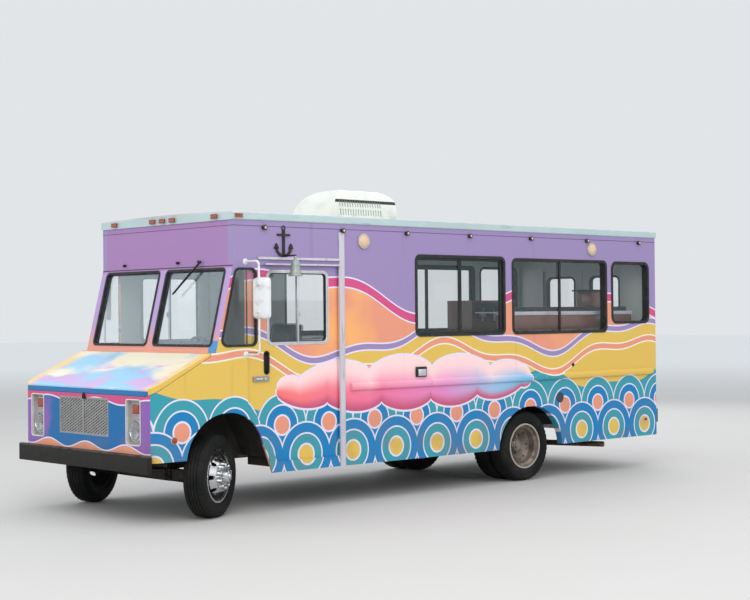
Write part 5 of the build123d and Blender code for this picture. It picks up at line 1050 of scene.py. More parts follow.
# Door windows: each sliding door has a bright anodised frame, screwed on, round two panes that
# slide in a rubber channel, and a bar where the panes meet.
WINDOW_MIDDLE = (along(0.840), 2.038)
WINDOW_SIZE = (0.816, 0.757)
WINDOW_RADIUS = 0.075
WINDOW_FRAME = 0.034
FRAME_SECTION = [
    (0, -0.036), (0, 0.001), (0.003, 0.005), (0.016, 0.005), (0.018, 0.001), (0.022, 0.001), (0.024, 0.004),
    (0.031, 0.004), (0.034, 0.001), (0.034, -0.036)]
CHANNEL_SECTION = [(-0.001, -0.032), (-0.001, -0.002), (0.008, -0.006), (0.009, -0.032)]
anodised = two_tone("anodised_frame", (16.0, 5.0), (214, 218, 222), (172, 176, 180),
                    rough=(0.24, 0.3), bump=(60.0, 3.0, 0.0005, 0.3), metallic=0.75)
door_pane = glass("door_glass", linear(160, 176, 180), 0.10)
inner = [size - 2 * WINDOW_FRAME for size in WINDOW_SIZE]
for side_name, hand in SIDES:
    body = "sliding_door_" + side_name
    middle = Vector((hand * DOOR_FACE, *WINDOW_MIDDLE))
    out, right = Vector((hand, 0, 0)), Vector((0, hand, 0))
    rim, panes, channel = Build(), Build(), Build()
    rim.moulding(*WINDOW_SIZE, WINDOW_RADIUS, FRAME_SECTION, middle, right)
    rim.block(middle - out * 0.012, (0.032, 0.024, WINDOW_SIZE[1] - 0.06), 0.004)
    rim.block(middle + out * 0.003 + right * 0.020 - UP * 0.06, (0.010, 0.016, 0.060), 0.003)
    channel.moulding(*inner, WINDOW_RADIUS - WINDOW_FRAME, CHANNEL_SECTION, middle, right)
    for shift, deep in ((-1, 0.018), (1, 0.026)):
        pane_middle = middle + right * shift * inner[0] / 4 - out * deep
        panes.plate(rounded(inner[0] / 2 + 0.02, inner[1] - 0.004, 0.03), 0.005, pane_middle, right)
    for shift in (-0.285, -0.095, 0.095, 0.285):
        for level in (-1, 1):
            for a, b in ((shift, level * (WINDOW_SIZE[1] / 2 - 0.010)),
                         (level * (WINDOW_SIZE[0] / 2 - 0.010), shift * 0.9)):
                rim.dome(middle + right * a + out * 0.005 + UP * b, out, 0.004)
    rim.finish("door_frame_" + side_name, "door_window", anodised, body,
               replaces=("door_glass_" + side_name,))
    panes.finish("door_panes_" + side_name, "door_window", door_pane, body)
    channel.finish("door_channel_" + side_name, "rubber_black", rubber, body)

# Door fittings: the pull handle's washers and screws, a lock in the latch case, the black plate
# behind the handle, and the rubber seal that is pressed on each door's front edge.
HANDLE_MIDDLE = (along(0.427), 1.490)
LATCH_MIDDLE = (along(0.350), 1.332)
LATCH_OUT = 0.017
LOCK = [(0, 0.013), (0.003, 0.013), (0.005, 0.011), (0.005, 0.004), (0.002, 0.003), (0.002, 0)]
for side_name, hand in SIDES:
    out = Vector((hand, 0, 0))
    handle = Vector((hand * DOOR_FACE, *HANDLE_MIDDLE))
    latch = Vector((hand * (DOOR_FACE + LATCH_OUT), *LATCH_MIDDLE))
    fittings = Build()
    for end in (-0.090, 0.090):
        fittings.lathe([(0, 0.020), (0.002, 0.020), (0.003, 0.018), (0.003, 0.012)],
                       handle + UP * end, out, 20)
        fittings.dome(handle + UP * end + out * 0.029, out, 0.006, steps=10)
    for shift in (-0.088, 0.088):
        for rise in (-0.016, 0.016):
            fittings.dome(latch + Vector((0, shift, rise)), out, 0.0045)
    fittings.lathe(LOCK, latch + Vector((0, 0.050, 0)), out, 20)
    fittings.block(latch + Vector((hand * 0.004, -0.030, 0)), (0.010, 0.085, 0.022), 0.004, segments=3)
    fittings.finish("door_fittings_" + side_name, "door_window", anodised, "sliding_door_" + side_name)
    seal = Build()
    seal.block((hand * (DOOR_FACE + 0.001), along(0.182), 1.775), (0.010, 0.012, 1.330), 0.003)
    seal.plate(rounded(0.074, 0.236, 0.034), 0.003 * hand, handle, (0, 1, 0))
    seal.finish("door_seal_" + side_name, "rubber_black", rubber, "sliding_door_" + side_name)

# Door rails and posts: folded aluminium gutters over each door and a flat cover strip down the
# post behind it. White paint has rubbed off along their edges, and rivets hold them.
POST_MIDDLE = along(1.405)
POST_LOW = 0.395
POST_HIGH = WALL_TOP - 0.088
POST_RIVETS = 16
rail_paint = Finish("rail_paint", metallic=0.25)
tone = rail_paint.noise(9.0, 5.0, (1, 1, 0.3))
streaks = rail_paint.noise(30.0, 4.0, (1, 1, 0.12)).fade(0.56, 0.72)
colour = tone.mix(linear(216, 214, 222), linear(180, 178, 190))
rail_paint.colour((streaks * 0.5).mix(colour, linear(120, 116, 124)))
rail_paint.rough(0.32 + 0.3 * tone)
rail_paint.bump(tone, 0.001, 0.3)
coat(rail_paint, "door_rails")
rail_rivets = Build()
for hand in HANDS:
    out = (hand, 0, 0)
    for index in range(POST_RIVETS + 1):
        rise = POST_LOW + 0.06 + index * (POST_HIGH - POST_LOW - 0.12) / POST_RIVETS
        rail_rivets.dome((hand * (WALL_X + 0.010), POST_MIDDLE, rise), out, 0.006)
    for edge in (-0.033, 0.033):
        rail_rivets.block((hand * (WALL_X + 0.011), POST_MIDDLE + edge, (POST_LOW + POST_HIGH) / 2),
                          (0.004, 0.006, POST_HIGH - POST_LOW - 0.01), 0.0015)
    for index in range(8):
        rail_rivets.dome((hand * (WALL_X + 0.024), along(0.36 + index * 0.14), 2.528), out, 0.004)
rail_rivets.finish("rail_rivets", "rail_metal", rail_paint)

# Kitchen windows: dark green-black aluminium sashes behind the frame, two to a window, with a
# finger latch on the meeting rail. The rear windows on the driver's side are single fixed panes.
KITCHEN_WINDOWS = [(2.472, 3.920, 1.712, 2.610), (4.035, 5.778, 1.712, 2.598)]
SASH_SECTION = [
    (0, -0.034), (0, -0.021), (0.004, -0.018), (0.020, -0.018), (0.023, -0.022), (0.026, -0.030),
    (0.026, -0.034)]
sash_metal = two_tone("sash_metal", (12.0, 5.0), (30, 40, 40), (58, 66, 64),
                      rough=(0.35, 0.3), bump=(80.0, 3.0, 0.0004, 0.3), metallic=0.35)
sashes = Build()
for hand in HANDS:
    for front, rear, low, high in KITCHEN_WINDOWS[:1] if hand > 0 else KITCHEN_WINDOWS:
        window = Vector((hand * WALL_X, along((front + rear) / 2), (low + high) / 2))
        width = (rear - front - 2 * WINDOW_FRAME) / 2
        for shift in (-0.5, 0.5):
            sashes.moulding(width, high - low - 2 * WINDOW_FRAME, 0.02, SASH_SECTION,
                            window + Vector((0, shift * width, 0)), (0, hand, 0))
        sashes.block(window + Vector((hand * -0.013, 0, -0.05)), (0.012, 0.022, 0.070), 0.004)
        sashes.block(window + Vector((hand * -0.007, 0, -0.03)), (0.010, 0.010, 0.022), 0.003)
sashes.finish("window_sashes", "rubber_black", sash_metal)

# Wiper: the driver's side keeps its black steel arm and blade, and bare pivots stand over both
# panes where others are missing.
SCREEN_TILT = radians(13.97)
SCREEN_NORMAL = Vector((0, -cos(SCREEN_TILT), sin(SCREEN_TILT)))
SCREEN_UP = Vector((0, sin(SCREEN_TILT), cos(SCREEN_TILT)))
BLADE_TURN = radians(42)
BLADE_MIDDLE = Vector((0.469, along(-0.1033), 2.045)) + SCREEN_UP * 0.300 + SCREEN_NORMAL * 0.034
black_metal = two_tone("black_metal", (20.0, 5.0), (22, 22, 24), (62, 58, 54), span=(0.4, 0.8),
                       rough=(0.38, 0.35), bump=(120.0, 3.0, 0.0004, 0.4), metallic=0.2)
coat(black_metal, "wiper", "bell_bracket")
blade_axis = Vector((cos(BLADE_TURN), 0, 0)) + SCREEN_UP * sin(BLADE_TURN)
blade_turn = Matrix((blade_axis, SCREEN_NORMAL.cross(blade_axis), SCREEN_NORMAL)).transposed()
wiper_parts = Build()
for shift, out, size, bevel in (
        (0, -0.010, (0.470, 0.003, 0.010), 0.001), (0, 0.008, (0.190, 0.009, 0.005), 0.002),
        (-0.09, 0.004, (0.014, 0.016, 0.014), 0.003), (0.09, 0.004, (0.014, 0.016, 0.014), 0.003)):
    wiper_parts.block(BLADE_MIDDLE + blade_axis * shift + SCREEN_NORMAL * out, size, bevel, blade_turn)
for place in (-0.717, 0.252, 0.619):
    wiper_parts.lathe([(0.010, 0.0145), (0.016, 0.0145), (0.021, 0.011), (0.024, 0.005), (0.025, 0)],
                      (place, along(-0.013), 2.500), AHEAD, 18)
wiper_parts.finish("wiper_parts", "wiper_black", black_metal)

# Door bell: a small cast bell hangs from the arm of an anchor-shaped bracket, over the driver's
# door. The bracket is cut from black steel with forged tips, and the bell is grey-green with age.
ANCHOR_Y = along(0.632)
ANCHOR_FACE = WALL_X + 0.016
BELL_TOP = Vector((WALL_X + 0.190, ANCHOR_Y, 2.548))
BEAD = ((-0.003, -0.003), (-0.002, 0.001), (0.002, 0.001), (0.003, -0.003))
patina = Finish("bell_patina", metallic=0.7)
tone = patina.noise(24.0, 5.0)
colour = tone.fade(0.35, 0.7).mix(linear(158, 176, 172), linear(166, 164, 146))
patina.colour((patina.noise(60.0, 4.0).fade(0.6, 0.75) * 0.6).mix(colour, linear(104, 122, 120)))
patina.rough(0.35 + 0.35 * tone)
patina.bump(patina.noise(110.0, 4.0), 0.0006, 0.5)
coat(patina, "door_bell")


def ball(radius):
    """Profile of a ball about its own middle."""
    return [(radius * sin(pi * (k / 8 - 0.5)), radius * cos(pi * (k / 8 - 0.5))) for k in range(9)]


anchor_parts, bell_parts = Build(), Build()
ring_section = [(0.005 * sin(tau * k / 10), 0.020 + 0.005 * cos(tau * k / 10)) for k in range(11)]
anchor_parts.lathe(ring_section, (WALL_X + 0.008, ANCHOR_Y, 2.833), (1, 0, 0), 28)
for hand in HANDS:
    tip = (WALL_X, ANCHOR_Y + hand * 0.0935, 2.626)
    anchor_parts.plate([(-0.030, 0), (0.030, 0), (0.004, 0.052), (-0.004, 0.052)], 0.016, tip, (0, 1, 0))
    anchor_parts.lathe(ball(0.011), (WALL_X + 0.008, ANCHOR_Y + hand * 0.075, 2.765), (0, 1, 0), 14)
for rise in (2.600, 2.700, 2.790):
    anchor_parts.dome((ANCHOR_FACE, ANCHOR_Y, rise), (1, 0, 0), 0.007, steps=6)
anchor_parts.finish("anchor_parts", "frame_black", black_metal)
for fall, radius in ((0.100, 0.0475), (0.172, 0.0640), (0.192, 0.0708)):
    bell_parts.lathe([(a, radius + b) for a, b in BEAD], BELL_TOP - UP * fall, UP, 40)
bell_parts.tube([BELL_TOP - UP * fall for fall in (0.055, 0.165)], 0.003, 8)
bell_parts.lathe(ball(0.014), BELL_TOP - UP * 0.176, UP, 18)
bell_parts.finish("bell_parts", "bell_metal", patina)

# Side fittings: a dark round filler cap and a lock behind it on the driver's side, a covered power
# inlet under the kitchen window, and the rub rails' rounded facing strips with their screws.
FILLER = (WALL_X, along(4.871), 0.950)
INLET_Y = along(2.544)
RUB_RAIL_Z = 1.208
FLAP = [
    (0, 0.062), (0.004, 0.062), (0.006, 0.058), (0.004, 0.054), (0.003, 0.052), (0.005, 0.050), (0.006, 0)]
flap_paint = two_tone("flap_paint", (6.0,), (34, 36, 42), (58, 60, 66),
                      bump=(40.0, 3.0, 0.0005, 0.3), coat_weight=0.2)
flap, locks = Build(), Build()
flap.lathe(FLAP, FILLER, (1, 0, 0), 40)
flap.block((WALL_X + 0.008, FILLER[1] + 0.040, FILLER[2]), (0.006, 0.010, 0.026), 0.002)
flap.finish("filler_flap", "side_paint", flap_paint)
locks.lathe([(0, 0.022), (0.006, 0.022), (0.009, 0.019), (0.009, 0.006), (0.006, 0.005), (0.006, 0)],
            (WALL_X, along(5.116), 1.333), (1, 0, 0), 24)
locks.block((WALL_X + 0.012, INLET_Y, 1.332), (0.024, 0.160, 0.110), 0.008, segments=3)
locks.tube([(WALL_X + 0.028, INLET_Y + shift, 1.380) for shift in (-0.060, 0.060)], 0.005, 10)
locks.finish("side_locks", "frame_black", black_metal)
rub_screws, facing_strips = Build(), Build()
rub_screws.block((WALL_X + 0.028, INLET_Y, 1.325), (0.010, 0.120, 0.074), 0.004)
for hand in HANDS:
    bends = [pi * (step / 12 - 0.5) for step in range(13)]
    facing_strips.loft([
        facing_strips.loop([
            (hand * (WALL_X + 0.0215 + 0.013 * cos(bend)), strip_y, RUB_RAIL_Z + 0.038 * sin(bend))
            for bend in bends])
        for strip_y in (along(1.520), along(6.664))])
    for index in range(26):
        spot = (hand * (WALL_X + 0.034), along(1.60 + index * 0.20), RUB_RAIL_Z)
        rub_screws.dome(spot, (hand, 0, 0), 0.006)
facing_strips.finish("rub_rail_strips", "side_paint", side_paint)
rub_screws.finish("rub_rail_screws", "side_paint", anodised)

# Rear doors: flat aluminium boxes on pinned hinges, each with a fixed pane locked in a rubber
# gasket in its upper half, three pressed stiffening ribs below it and a weather strip inside.
PANEL_EDGES = (0.003, 0.694)
PANEL_LEVELS = (0.806, 2.554)
PANEL_THICKNESS = 0.045
REAR_PANE = (0.480, 0.560)
REAR_PANE_RADIUS = 0.070
REAR_PANE_PLACE = (0.372, 2.150)
HINGE_PLACE = (0.714, 0.014)
HINGE_LEVELS = (1.150, 2.250)
PANE_GASKET = [
    (-0.016, -0.002), (-0.014, 0.006), (-0.004, 0.009), (0.010, 0.006), (0.014, 0.000), (0.014, -0.004),
    (0.002, -0.006), (0.002, -0.039), (0.014, -0.041), (0.014, -0.045), (0.004, -0.052), (-0.012, -0.049),
    (-0.016, -0.043)]
panel_size = (PANEL_EDGES[1] - PANEL_EDGES[0], PANEL_LEVELS[1] - PANEL_LEVELS[0])
for side_name, hand in SIDES:
    body = "back_door_" + side_name
    panel, gasket, pane = Build(), Build(), Build()
    middle = Vector((hand * sum(PANEL_EDGES) / 2, REAR_Y, sum(PANEL_LEVELS) / 2))
    window = Vector((hand * REAR_PANE_PLACE[0], REAR_Y, REAR_PANE_PLACE[1]))
    shift = window - middle
    opening = [(a - shift.x, shift.z + b) for a, b in rounded(*REAR_PANE, REAR_PANE_RADIUS)]
    panel.frame(rounded(*panel_size, 0.006), opening, -PANEL_THICKNESS, middle, (-1, 0, 0))
    panel.block((hand * (PANEL_EDGES[1] - 0.019), REAR_Y - 0.0545, middle.z), (0.020, 0.017, 1.690), 0.003)
    for rise in (1.010, 1.220, 1.430):
        panel.block((hand * 0.372, REAR_Y + 0.0005, rise), (0.460, 0.009, 0.050), 0.004, segments=3)
    for rise in HINGE_LEVELS:
        knuckle = [(-0.050, 0.0075), (-0.050, 0.012), (0.050, 0.012), (0.050, 0.0075), (-0.050, 0.0075)]
        panel.lathe(knuckle, (hand * HINGE_PLACE[0], REAR_Y + HINGE_PLACE[1], rise), UP, 20)
        panel.block((hand * 0.668, REAR_Y + 0.005, rise), (0.066, 0.010, 0.098), 0.003)
        for spot_x in (0.648, 0.680):
            for end in (-0.030, 0.030):
                panel.dome((hand * spot_x, REAR_Y + 0.010, rise + end), (0, 1, 0), 0.006)
    gasket.moulding(*REAR_PANE, REAR_PANE_RADIUS, PANE_GASKET, window, (-1, 0, 0))
    pane_outline = rounded(REAR_PANE[0] - 0.006, REAR_PANE[1] - 0.006, REAR_PANE_RADIUS)
    pane.plate(pane_outline, 0.005, window - Vector((0, 0.025, 0)), (-1, 0, 0))
    panel.finish("rear_door_panel_" + side_name, "rear_paint", rear_paint, body,
                 replaces=("rear_door_" + side_name,))
    gasket.finish("rear_pane_gasket_" + side_name, "rubber_black", rubber, body)
    pane.finish("rear_pane_" + side_name, "window_glass", kitchen_glass, body)

# Rear fittings: a rod lock runs down the left door, both doors have a grab handle, and a lipped
# gutter keeps rain off. The folded step is galvanised chequer plate with a wiped top.
GRAB_X = 0.10
GRAB_Z = 1.60
ROD_X = 0.045
step_plate = Finish("step_plate", metallic=0.7)
x, y, _ = step_plate.parts
tone = step_plate.noise(11.0, 5.0)
bars = ((x + y) * 105.0).sine() * ((x - y) * 105.0).sine()
top = step_plate.facing[2].fade(0.5, 0.9)
colour = tone.mix(linear(132, 134, 136), linear(92, 90, 88))
step_plate.colour((step_plate.noise(26.0, 5.0).fade(0.6, 0.74) * 0.6).mix(colour, linear(110, 78, 54)))
step_plate.rough(0.40 + 0.35 * tone)
step_plate.bump(bars.fade(0.25, 0.6) * top + 0.15 * tone, 0.002, 0.7)
coat(step_plate, "rear_bumper")
for side_name, hand in SIDES:
    locks = Build()
    for rise in (0.20, -0.20):
        bends = ((0, 1), (0.045, 0.9), (0.052, 0.6), (0.052, 0))
        locks.tube([(hand * GRAB_X, REAR_Y + out, GRAB_Z + rise * share) for out, share in bends], 0.009)
        locks.lathe([(0, 0.024), (0.004, 0.024), (0.006, 0.020), (0.006, 0.010)],
                    (hand * GRAB_X, REAR_Y, GRAB_Z + rise), (0, 1, 0), 20)
    if hand > 0:
        locks.tube([(ROD_X, REAR_Y + 0.022, rise) for rise in (0.830, 2.530)], 0.0105, 14)
        guides = [(ROD_X, REAR_Y + 0.014, rise) for rise in (0.870, 1.280, 1.920, 2.490)]
        locks.blocks(guides, (0.060, 0.028, 0.046), 0.005)
        locks.block((0.150, REAR_Y + 0.040, 1.100), (0.230, 0.010, 0.030), 0.004)
        locks.block((ROD_X, REAR_Y + 0.026, 1.100), (0.036, 0.036, 0.050), 0.005)
        locks.block((0.255, REAR_Y + 0.018, 1.100), (0.040, 0.036, 0.050), 0.005)
    locks.finish("rear_locks_" + side_name, "rail_metal", anodised, "back_door_" + side_name)
gutter = Build()
gutter.block((0, REAR_Y + 0.014, 2.585), (1.44, 0.028, 0.016), 0.004)
for hand in HANDS:
    for level in HINGE_LEVELS:
        for shift in (-0.020, 0.020):
            for end in (-0.065, 0.065):
                gutter.dome((hand * (0.730 + shift), REAR_Y + 0.024, level + end), (0, 1, 0), 0.004)
gutter.finish("rear_gutter", "rail_metal", rail_paint)


# Chassis: pressed steel rails and members in black paint, browned by rust and road film, with the
# axles, springs, knuckles and tie rod in the same state. U-bolts clamp each spring on its axle.
def worn_steel(name, first, second, rust_low, metal):
    """Painted or bare steel in two tones, with rust where a cloudy value passes rust_low."""
    steel = Finish(name, metallic=metal)
    tone = steel.noise(7.0, 5.0)
    rust = steel.noise(17.0, 6.0).fade(rust_low, rust_low + 0.12)
    colour = rust.mix(tone.fade(0.3, 0.7).mix(linear(*first), linear(*second)), linear(88, 54, 36))
    film = steel.noise(2.5, 3.0).fade(0.45, 0.8) * 0.4
    steel.colour(film.mix(colour, linear(70, 63, 55)))
    steel.rough(0.5 + 0.3 * tone)
    steel.bump(rust * 0.5 + 0.4 * steel.noise(60.0, 4.0), 0.0015, 0.5)
    return steel


# Each axle's place, the height of its spring's seat and the height of its underside
AXLES = [(along(-0.212), 0.440, 0.370), (along(4.309), 0.4655, 0.345)]
SPRING_X = 0.402
SPRING_STACK = 0.044
SPRING_END_Z = 0.540 - 0.022
BOLT_X = 0.040
CLIP_REACH = 0.30
chassis_black = worn_steel("chassis_black", (18, 18, 18), (33, 31, 29), 0.64, 0.2)
axle_steel = worn_steel("axle_steel", (38, 36, 34), (58, 53, 48), 0.57, 0.4)
coat(chassis_black, "chassis_frame", "cross_members", "leaf_springs")
coat(axle_steel, "front_axle", "rear_axle", "knuckle_left", "knuckle_right", "tie_rod", "drive_shaft")
clamps = Build()
for axle_y, seat, under in AXLES:
    for spring_x in (SPRING_X, -SPRING_X):
        top = seat + SPRING_STACK
        clamps.block((spring_x, axle_y, top + 0.009), (0.084, 0.150, 0.018), 0.004)
        clamps.block((spring_x, axle_y, under - 0.008), (0.084, 0.150, 0.016), 0.004)
        for bolt_y in (axle_y - 0.052, axle_y + 0.052):
            bend = [(BOLT_X * cos(pi * k / 8), top + 0.022 + 0.014 * sin(pi * k / 8)) for k in range(9)]
            legs = [(BOLT_X, under - 0.045), *bend, (-BOLT_X, under - 0.045)]
            clamps.tube([(spring_x + a, bolt_y, b) for a, b in legs], 0.0075, 10)
            for end in (-BOLT_X, BOLT_X):
                clamps.lathe([(0, 0.008), (0, 0.0145), (0.013, 0.0145), (0.013, 0.008)],
                             (spring_x + end, bolt_y, under - 0.016), (0, 0, -1), 6)
        # Band clips round the leaves, and the eye bolts in the hangers
        middle_z = seat + SPRING_STACK / 2
        clip_z = middle_z + (SPRING_END_Z - middle_z) * (CLIP_REACH / 0.64) ** 2
        for end in (-1, 1):
            clamps.block((spring_x, axle_y + end * CLIP_REACH, clip_z), (0.072, 0.026, 0.056), 0.003)
            clamps.band(0.040, 0, 0.012, (spring_x, axle_y + end * 0.615, 0.541), (1, 0, 0), 12)
clamps.finish("spring_clamps", "frame_black", chassis_black)
rivets = Build()
for hand in HANDS:
    for index in range(30):
        for rise in (0.690, 0.610):
            rivets.dome((hand * 0.432, NOSE_Y + 0.15 + index * 0.25, rise), (hand, 0, 0), 0.010)
rivets.finish("frame_rivets", "frame_black", chassis_black)

# Engine, radiator and drive: a cast block in faded blue-grey paint, a finned aluminium core, and
# universal joints at both ends of the shaft.
SHAFT_FRONT = Vector((0, along(-0.240), 0.665))
SHAFT_REAR = Vector((0, along(4.019), 0.4055))
YOKE = [(0, 0.040), (0, 0.062), (0.014, 0.062), (0.018, 0.048), (0.060, 0.046), (0.070, 0.040)]
coat(worn_steel("engine_iron", (70, 78, 84), (92, 96, 96), 0.60, 0.3), "engine_block")
core = Finish("radiator_core", metallic=0.5)
x, _, z = core.parts
fins = (z * 900.0).sine() * 0.5 + 0.5
tubes = (x * 300.0).sine() * 0.5 + 0.5
# The core is dark between its fins and paler on them: painted shade in the gaps between the fins
core.colour((fins * 0.6).mix(linear(30, 30, 30), linear(104, 104, 102)))
core.rough(0.5 + 0.2 * fins)
core.bump(fins * 0.6 + tubes * 0.4, 0.003, 0.8)
coat(core, "radiator")
joints = Build()
shaft_axis = (SHAFT_REAR - SHAFT_FRONT).normalized()
for end, inward in ((SHAFT_FRONT, shaft_axis), (SHAFT_REAR, -shaft_axis)):
    base = end + inward * 0.03
    joints.lathe(YOKE, base, inward)
    for axis in ((1, 0, 0), shaft_axis.cross(Vector((1, 0, 0)))):
        joints.band(0.058, 0, 0.018, base + inward * 0.042, axis, 16)
joints.band(0.05, 0.040, 0.055, SHAFT_FRONT.lerp(SHAFT_REAR, 0.5), shaft_axis, 32)
joints.finish("shaft_joints", "engine_iron", axle_steel)

# Tank and exhaust: a folded steel tank in black paint behind its straps, and a rusted pipe with
# a seamed silencer and clamps.
TANK_X = (0.472 + 1.012) / 2
PIPE_X = 0.250
PIPE_Z = 0.500
STRAP = [
    (0.478, 0.640), (0.478, 0.430), (0.510, 0.382), (0.560, 0.374), (0.930, 0.374), (0.985, 0.390),
    (1.014, 0.440), (1.014, 0.600), (0.990, 0.660), (0.930, 0.682), (0.560, 0.682)]
tank_paint = worn_steel("tank_black", (30, 31, 32), (48, 48, 46), 0.62, 0.15)
coat(tank_paint, "fuel_tank")
tank_parts = Build()
for place in (2.784, 2.816, 3.304, 3.336):
    tank_parts.tube([(a, along(place), b) for a, b in STRAP], 0.004, 6)
tank_parts.block((1.0125, along(3.060), 0.528), (0.006, 0.940, 0.012), 0.002)
tank_parts.lathe([(0, 0.050), (0.012, 0.050), (0.016, 0.044), (0.016, 0)],
                 (TANK_X, along(3.40), 0.678), UP, 28)
tank_parts.finish("tank_straps", "tank_black", tank_paint)
rusty = worn_steel("exhaust_rust", (104, 84, 70), (128, 116, 104), 0.44, 0.5)
coat(rusty, "exhaust")
bands = Build()
for place in (2.390, 3.010):
    bands.band(0.006, 0.090, 0.099, (PIPE_X, along(place), PIPE_Z), (0, 1, 0), 36)
for place in (1.50, 2.30, 3.10, 3.20):
    bands.band(0.018, 0.033, 0.0385, (PIPE_X, along(place), PIPE_Z), (0, 1, 0), 24)
    bands.tube([(PIPE_X + shift, along(place), PIPE_Z + 0.040) for shift in (-0.040, 0.045)], 0.005, 8)
bands.finish("exhaust_bands", "exhaust_steel", rusty)

# Floor and wheel houses: chequer plate on plywood inside, brushed underseal below. Steps inside
# both doors are edged with bright nosing.
under = Finish("floor_plate", metallic=0.35)
x, y, _ = under.parts
bars = ((x + y) * 90.0).sine() * ((x - y) * 90.0).sine()
upward = under.facing[2].fade(0.5, 0.9)
tone = under.noise(3.0, 5.0)
below = tone.mix(linear(44, 41, 38), linear(72, 66, 58))
under.colour(upward.mix(below, tone.mix(linear(112, 112, 110), linear(84, 82, 78))))
under.rough(0.45 + 0.35 * tone)
under.bump(bars.fade(0.25, 0.6) * upward + 0.3 * under.noise(40.0, 4.0), 0.002, 0.6)
coat(under, "floor")
sealed = Finish("wheel_house_seal", roughness=0.85)
tone = sealed.noise(6.0, 5.0)
mud = (1.0 - sealed.parts[2].fade(0.45, 1.0)) * tone.fade(0.4, 0.7) * 0.6
sealed.colour(mud.mix(tone.mix(linear(20, 19, 18), linear(36, 33, 31)), linear(70, 62, 53)))
sealed.bump(sealed.noise(50.0, 4.0), 0.003, 0.6)
coat(sealed, "wheel_houses")
nosing = Build()
nosing.blocks([(hand * 0.652, along(0.964), 0.803) for hand in HANDS], (0.030, 0.780, 0.006), 0.002)
nosing.finish("step_nosing", "step_steel", anodised)

# Dashboard: a sheet-metal cowl shelf in textured dark grey paint with the engine's padded cover
# below it. A small pod in front of the driver holds three plain dials.
SEAT_X = 0.520
POD = Vector((SEAT_X, along(0.005), 1.640))
POD_SIZE = (0.40, 0.13, 0.15)
DIALS = (-0.125, 0.0, 0.125)
COVER_X = -0.060
BEHIND = Vector((0, 1, 0))
dash_paint = Finish("dash_grey", roughness=0.6)
tone = dash_paint.noise(5.0, 4.0)
dash_paint.colour(tone.mix(linear(52, 52, 54), linear(72, 71, 70)))
dash_paint.bump(dash_paint.noise(260.0, 3.0) + 0.3 * tone, 0.0012, 0.6)
coat(dash_paint, "dashboard")
grip = two_tone("wheel_grip", (12.0, 4.0), (18, 18, 19), (34, 33, 32),
                bump=(300.0, 2.0, 0.0005, 0.5), roughness=0.42, coat_weight=0.15)
coat(grip, "steering_wheel")
dial_white = two_tone("dial_white", (30.0,), (222, 222, 214), (200, 200, 190), roughness=0.35)
dials, marks = Build(), Build()
dials.block(POD, POD_SIZE, 0.022, segments=4)
for shift in DIALS:
    at = POD + Vector((shift, POD_SIZE[1] / 2, 0))
    dials.lathe([(-0.002, 0.056), (0.008, 0.056), (0.010, 0.053), (0.008, 0.050), (0.002, 0.049)],
                at, BEHIND, 36)
    dials.lathe([(0.001, 0.050), (0.0015, 0.0)], at, BEHIND, 36)
    for step in range(11):
        tick = Matrix.Rotation(radians(-135 + 27 * step), 3, "Y")
        length = 0.009 if step % 2 else 0.013
        marks.block(at + tick @ Vector((0, 0.003, 0.040)), (0.003, 0.0015, length), 0, tick)
    needle = Matrix.Rotation(radians(-128), 3, "Y")
    marks.block(at + needle @ Vector((0, 0.0045, 0.014)), (0.003, 0.0015, 0.046), 0.0005, needle)
    marks.lathe([(0.003, 0.006), (0.006, 0.005), (0.006, 0)], at, BEHIND, 12)
dials.finish("dial_pod", "dash_plastic", grip)
marks.finish("dial_marks", "dash_plastic", dial_white)
cover_trim = Build()
cover_trim.blocks([(COVER_X + a, along(0.050), 1.243) for a in (-0.16, 0.16)], (0.016, 0.60, 0.010), 0.004)
cover_trim.blocks([(COVER_X + a, along(0.466), 1.10) for a in (-0.28, 0.28)], (0.024, 0.014, 0.090), 0.004)
cover_trim.finish("cover_trim", "dash_plastic", grip)

# Driver's seat: two foam pads in sewn black vinyl on a folded steel box. The pads are crowned by
# the pressure of their foam, and piping runs round the seams that hold them in.
PAD_VOXEL = 0.008
PAD_FRAMES = 20
PAD_PRESSURE = 4.0
PAD_CAP = 0.018
SEAM_SHARE = 0.93
CUSHION = ((SEAT_X, along(0.880), 1.188), (0.450, 0.450, 0.112), Matrix.Identity(3))
BACK = ((SEAT_X, along(1.150), 1.560), (0.430, 0.086, 0.610), Matrix.Rotation(radians(-10), 3, "X"))
vinyl = Finish("seat_vinyl", roughness=0.5, coat_weight=0.1)
crease = vinyl.noise(14.0, 5.0)
vinyl.colour(crease.fade(0.3, 0.75).mix(linear(26, 26, 28), linear(50, 48, 47)))
vinyl.bump(vinyl.noise(420.0, 2.0) * 0.4 + crease * 0.8, 0.0016, 0.6)


def settle(piece):
    """Makes the result of a piece's modifiers its own mesh."""
    depsgraph = bpy.context.evaluated_depsgraph_get()
    result = bpy.data.meshes.new_from_object(piece.evaluated_get(depsgraph))
    piece.modifiers.clear()
    piece.data = result


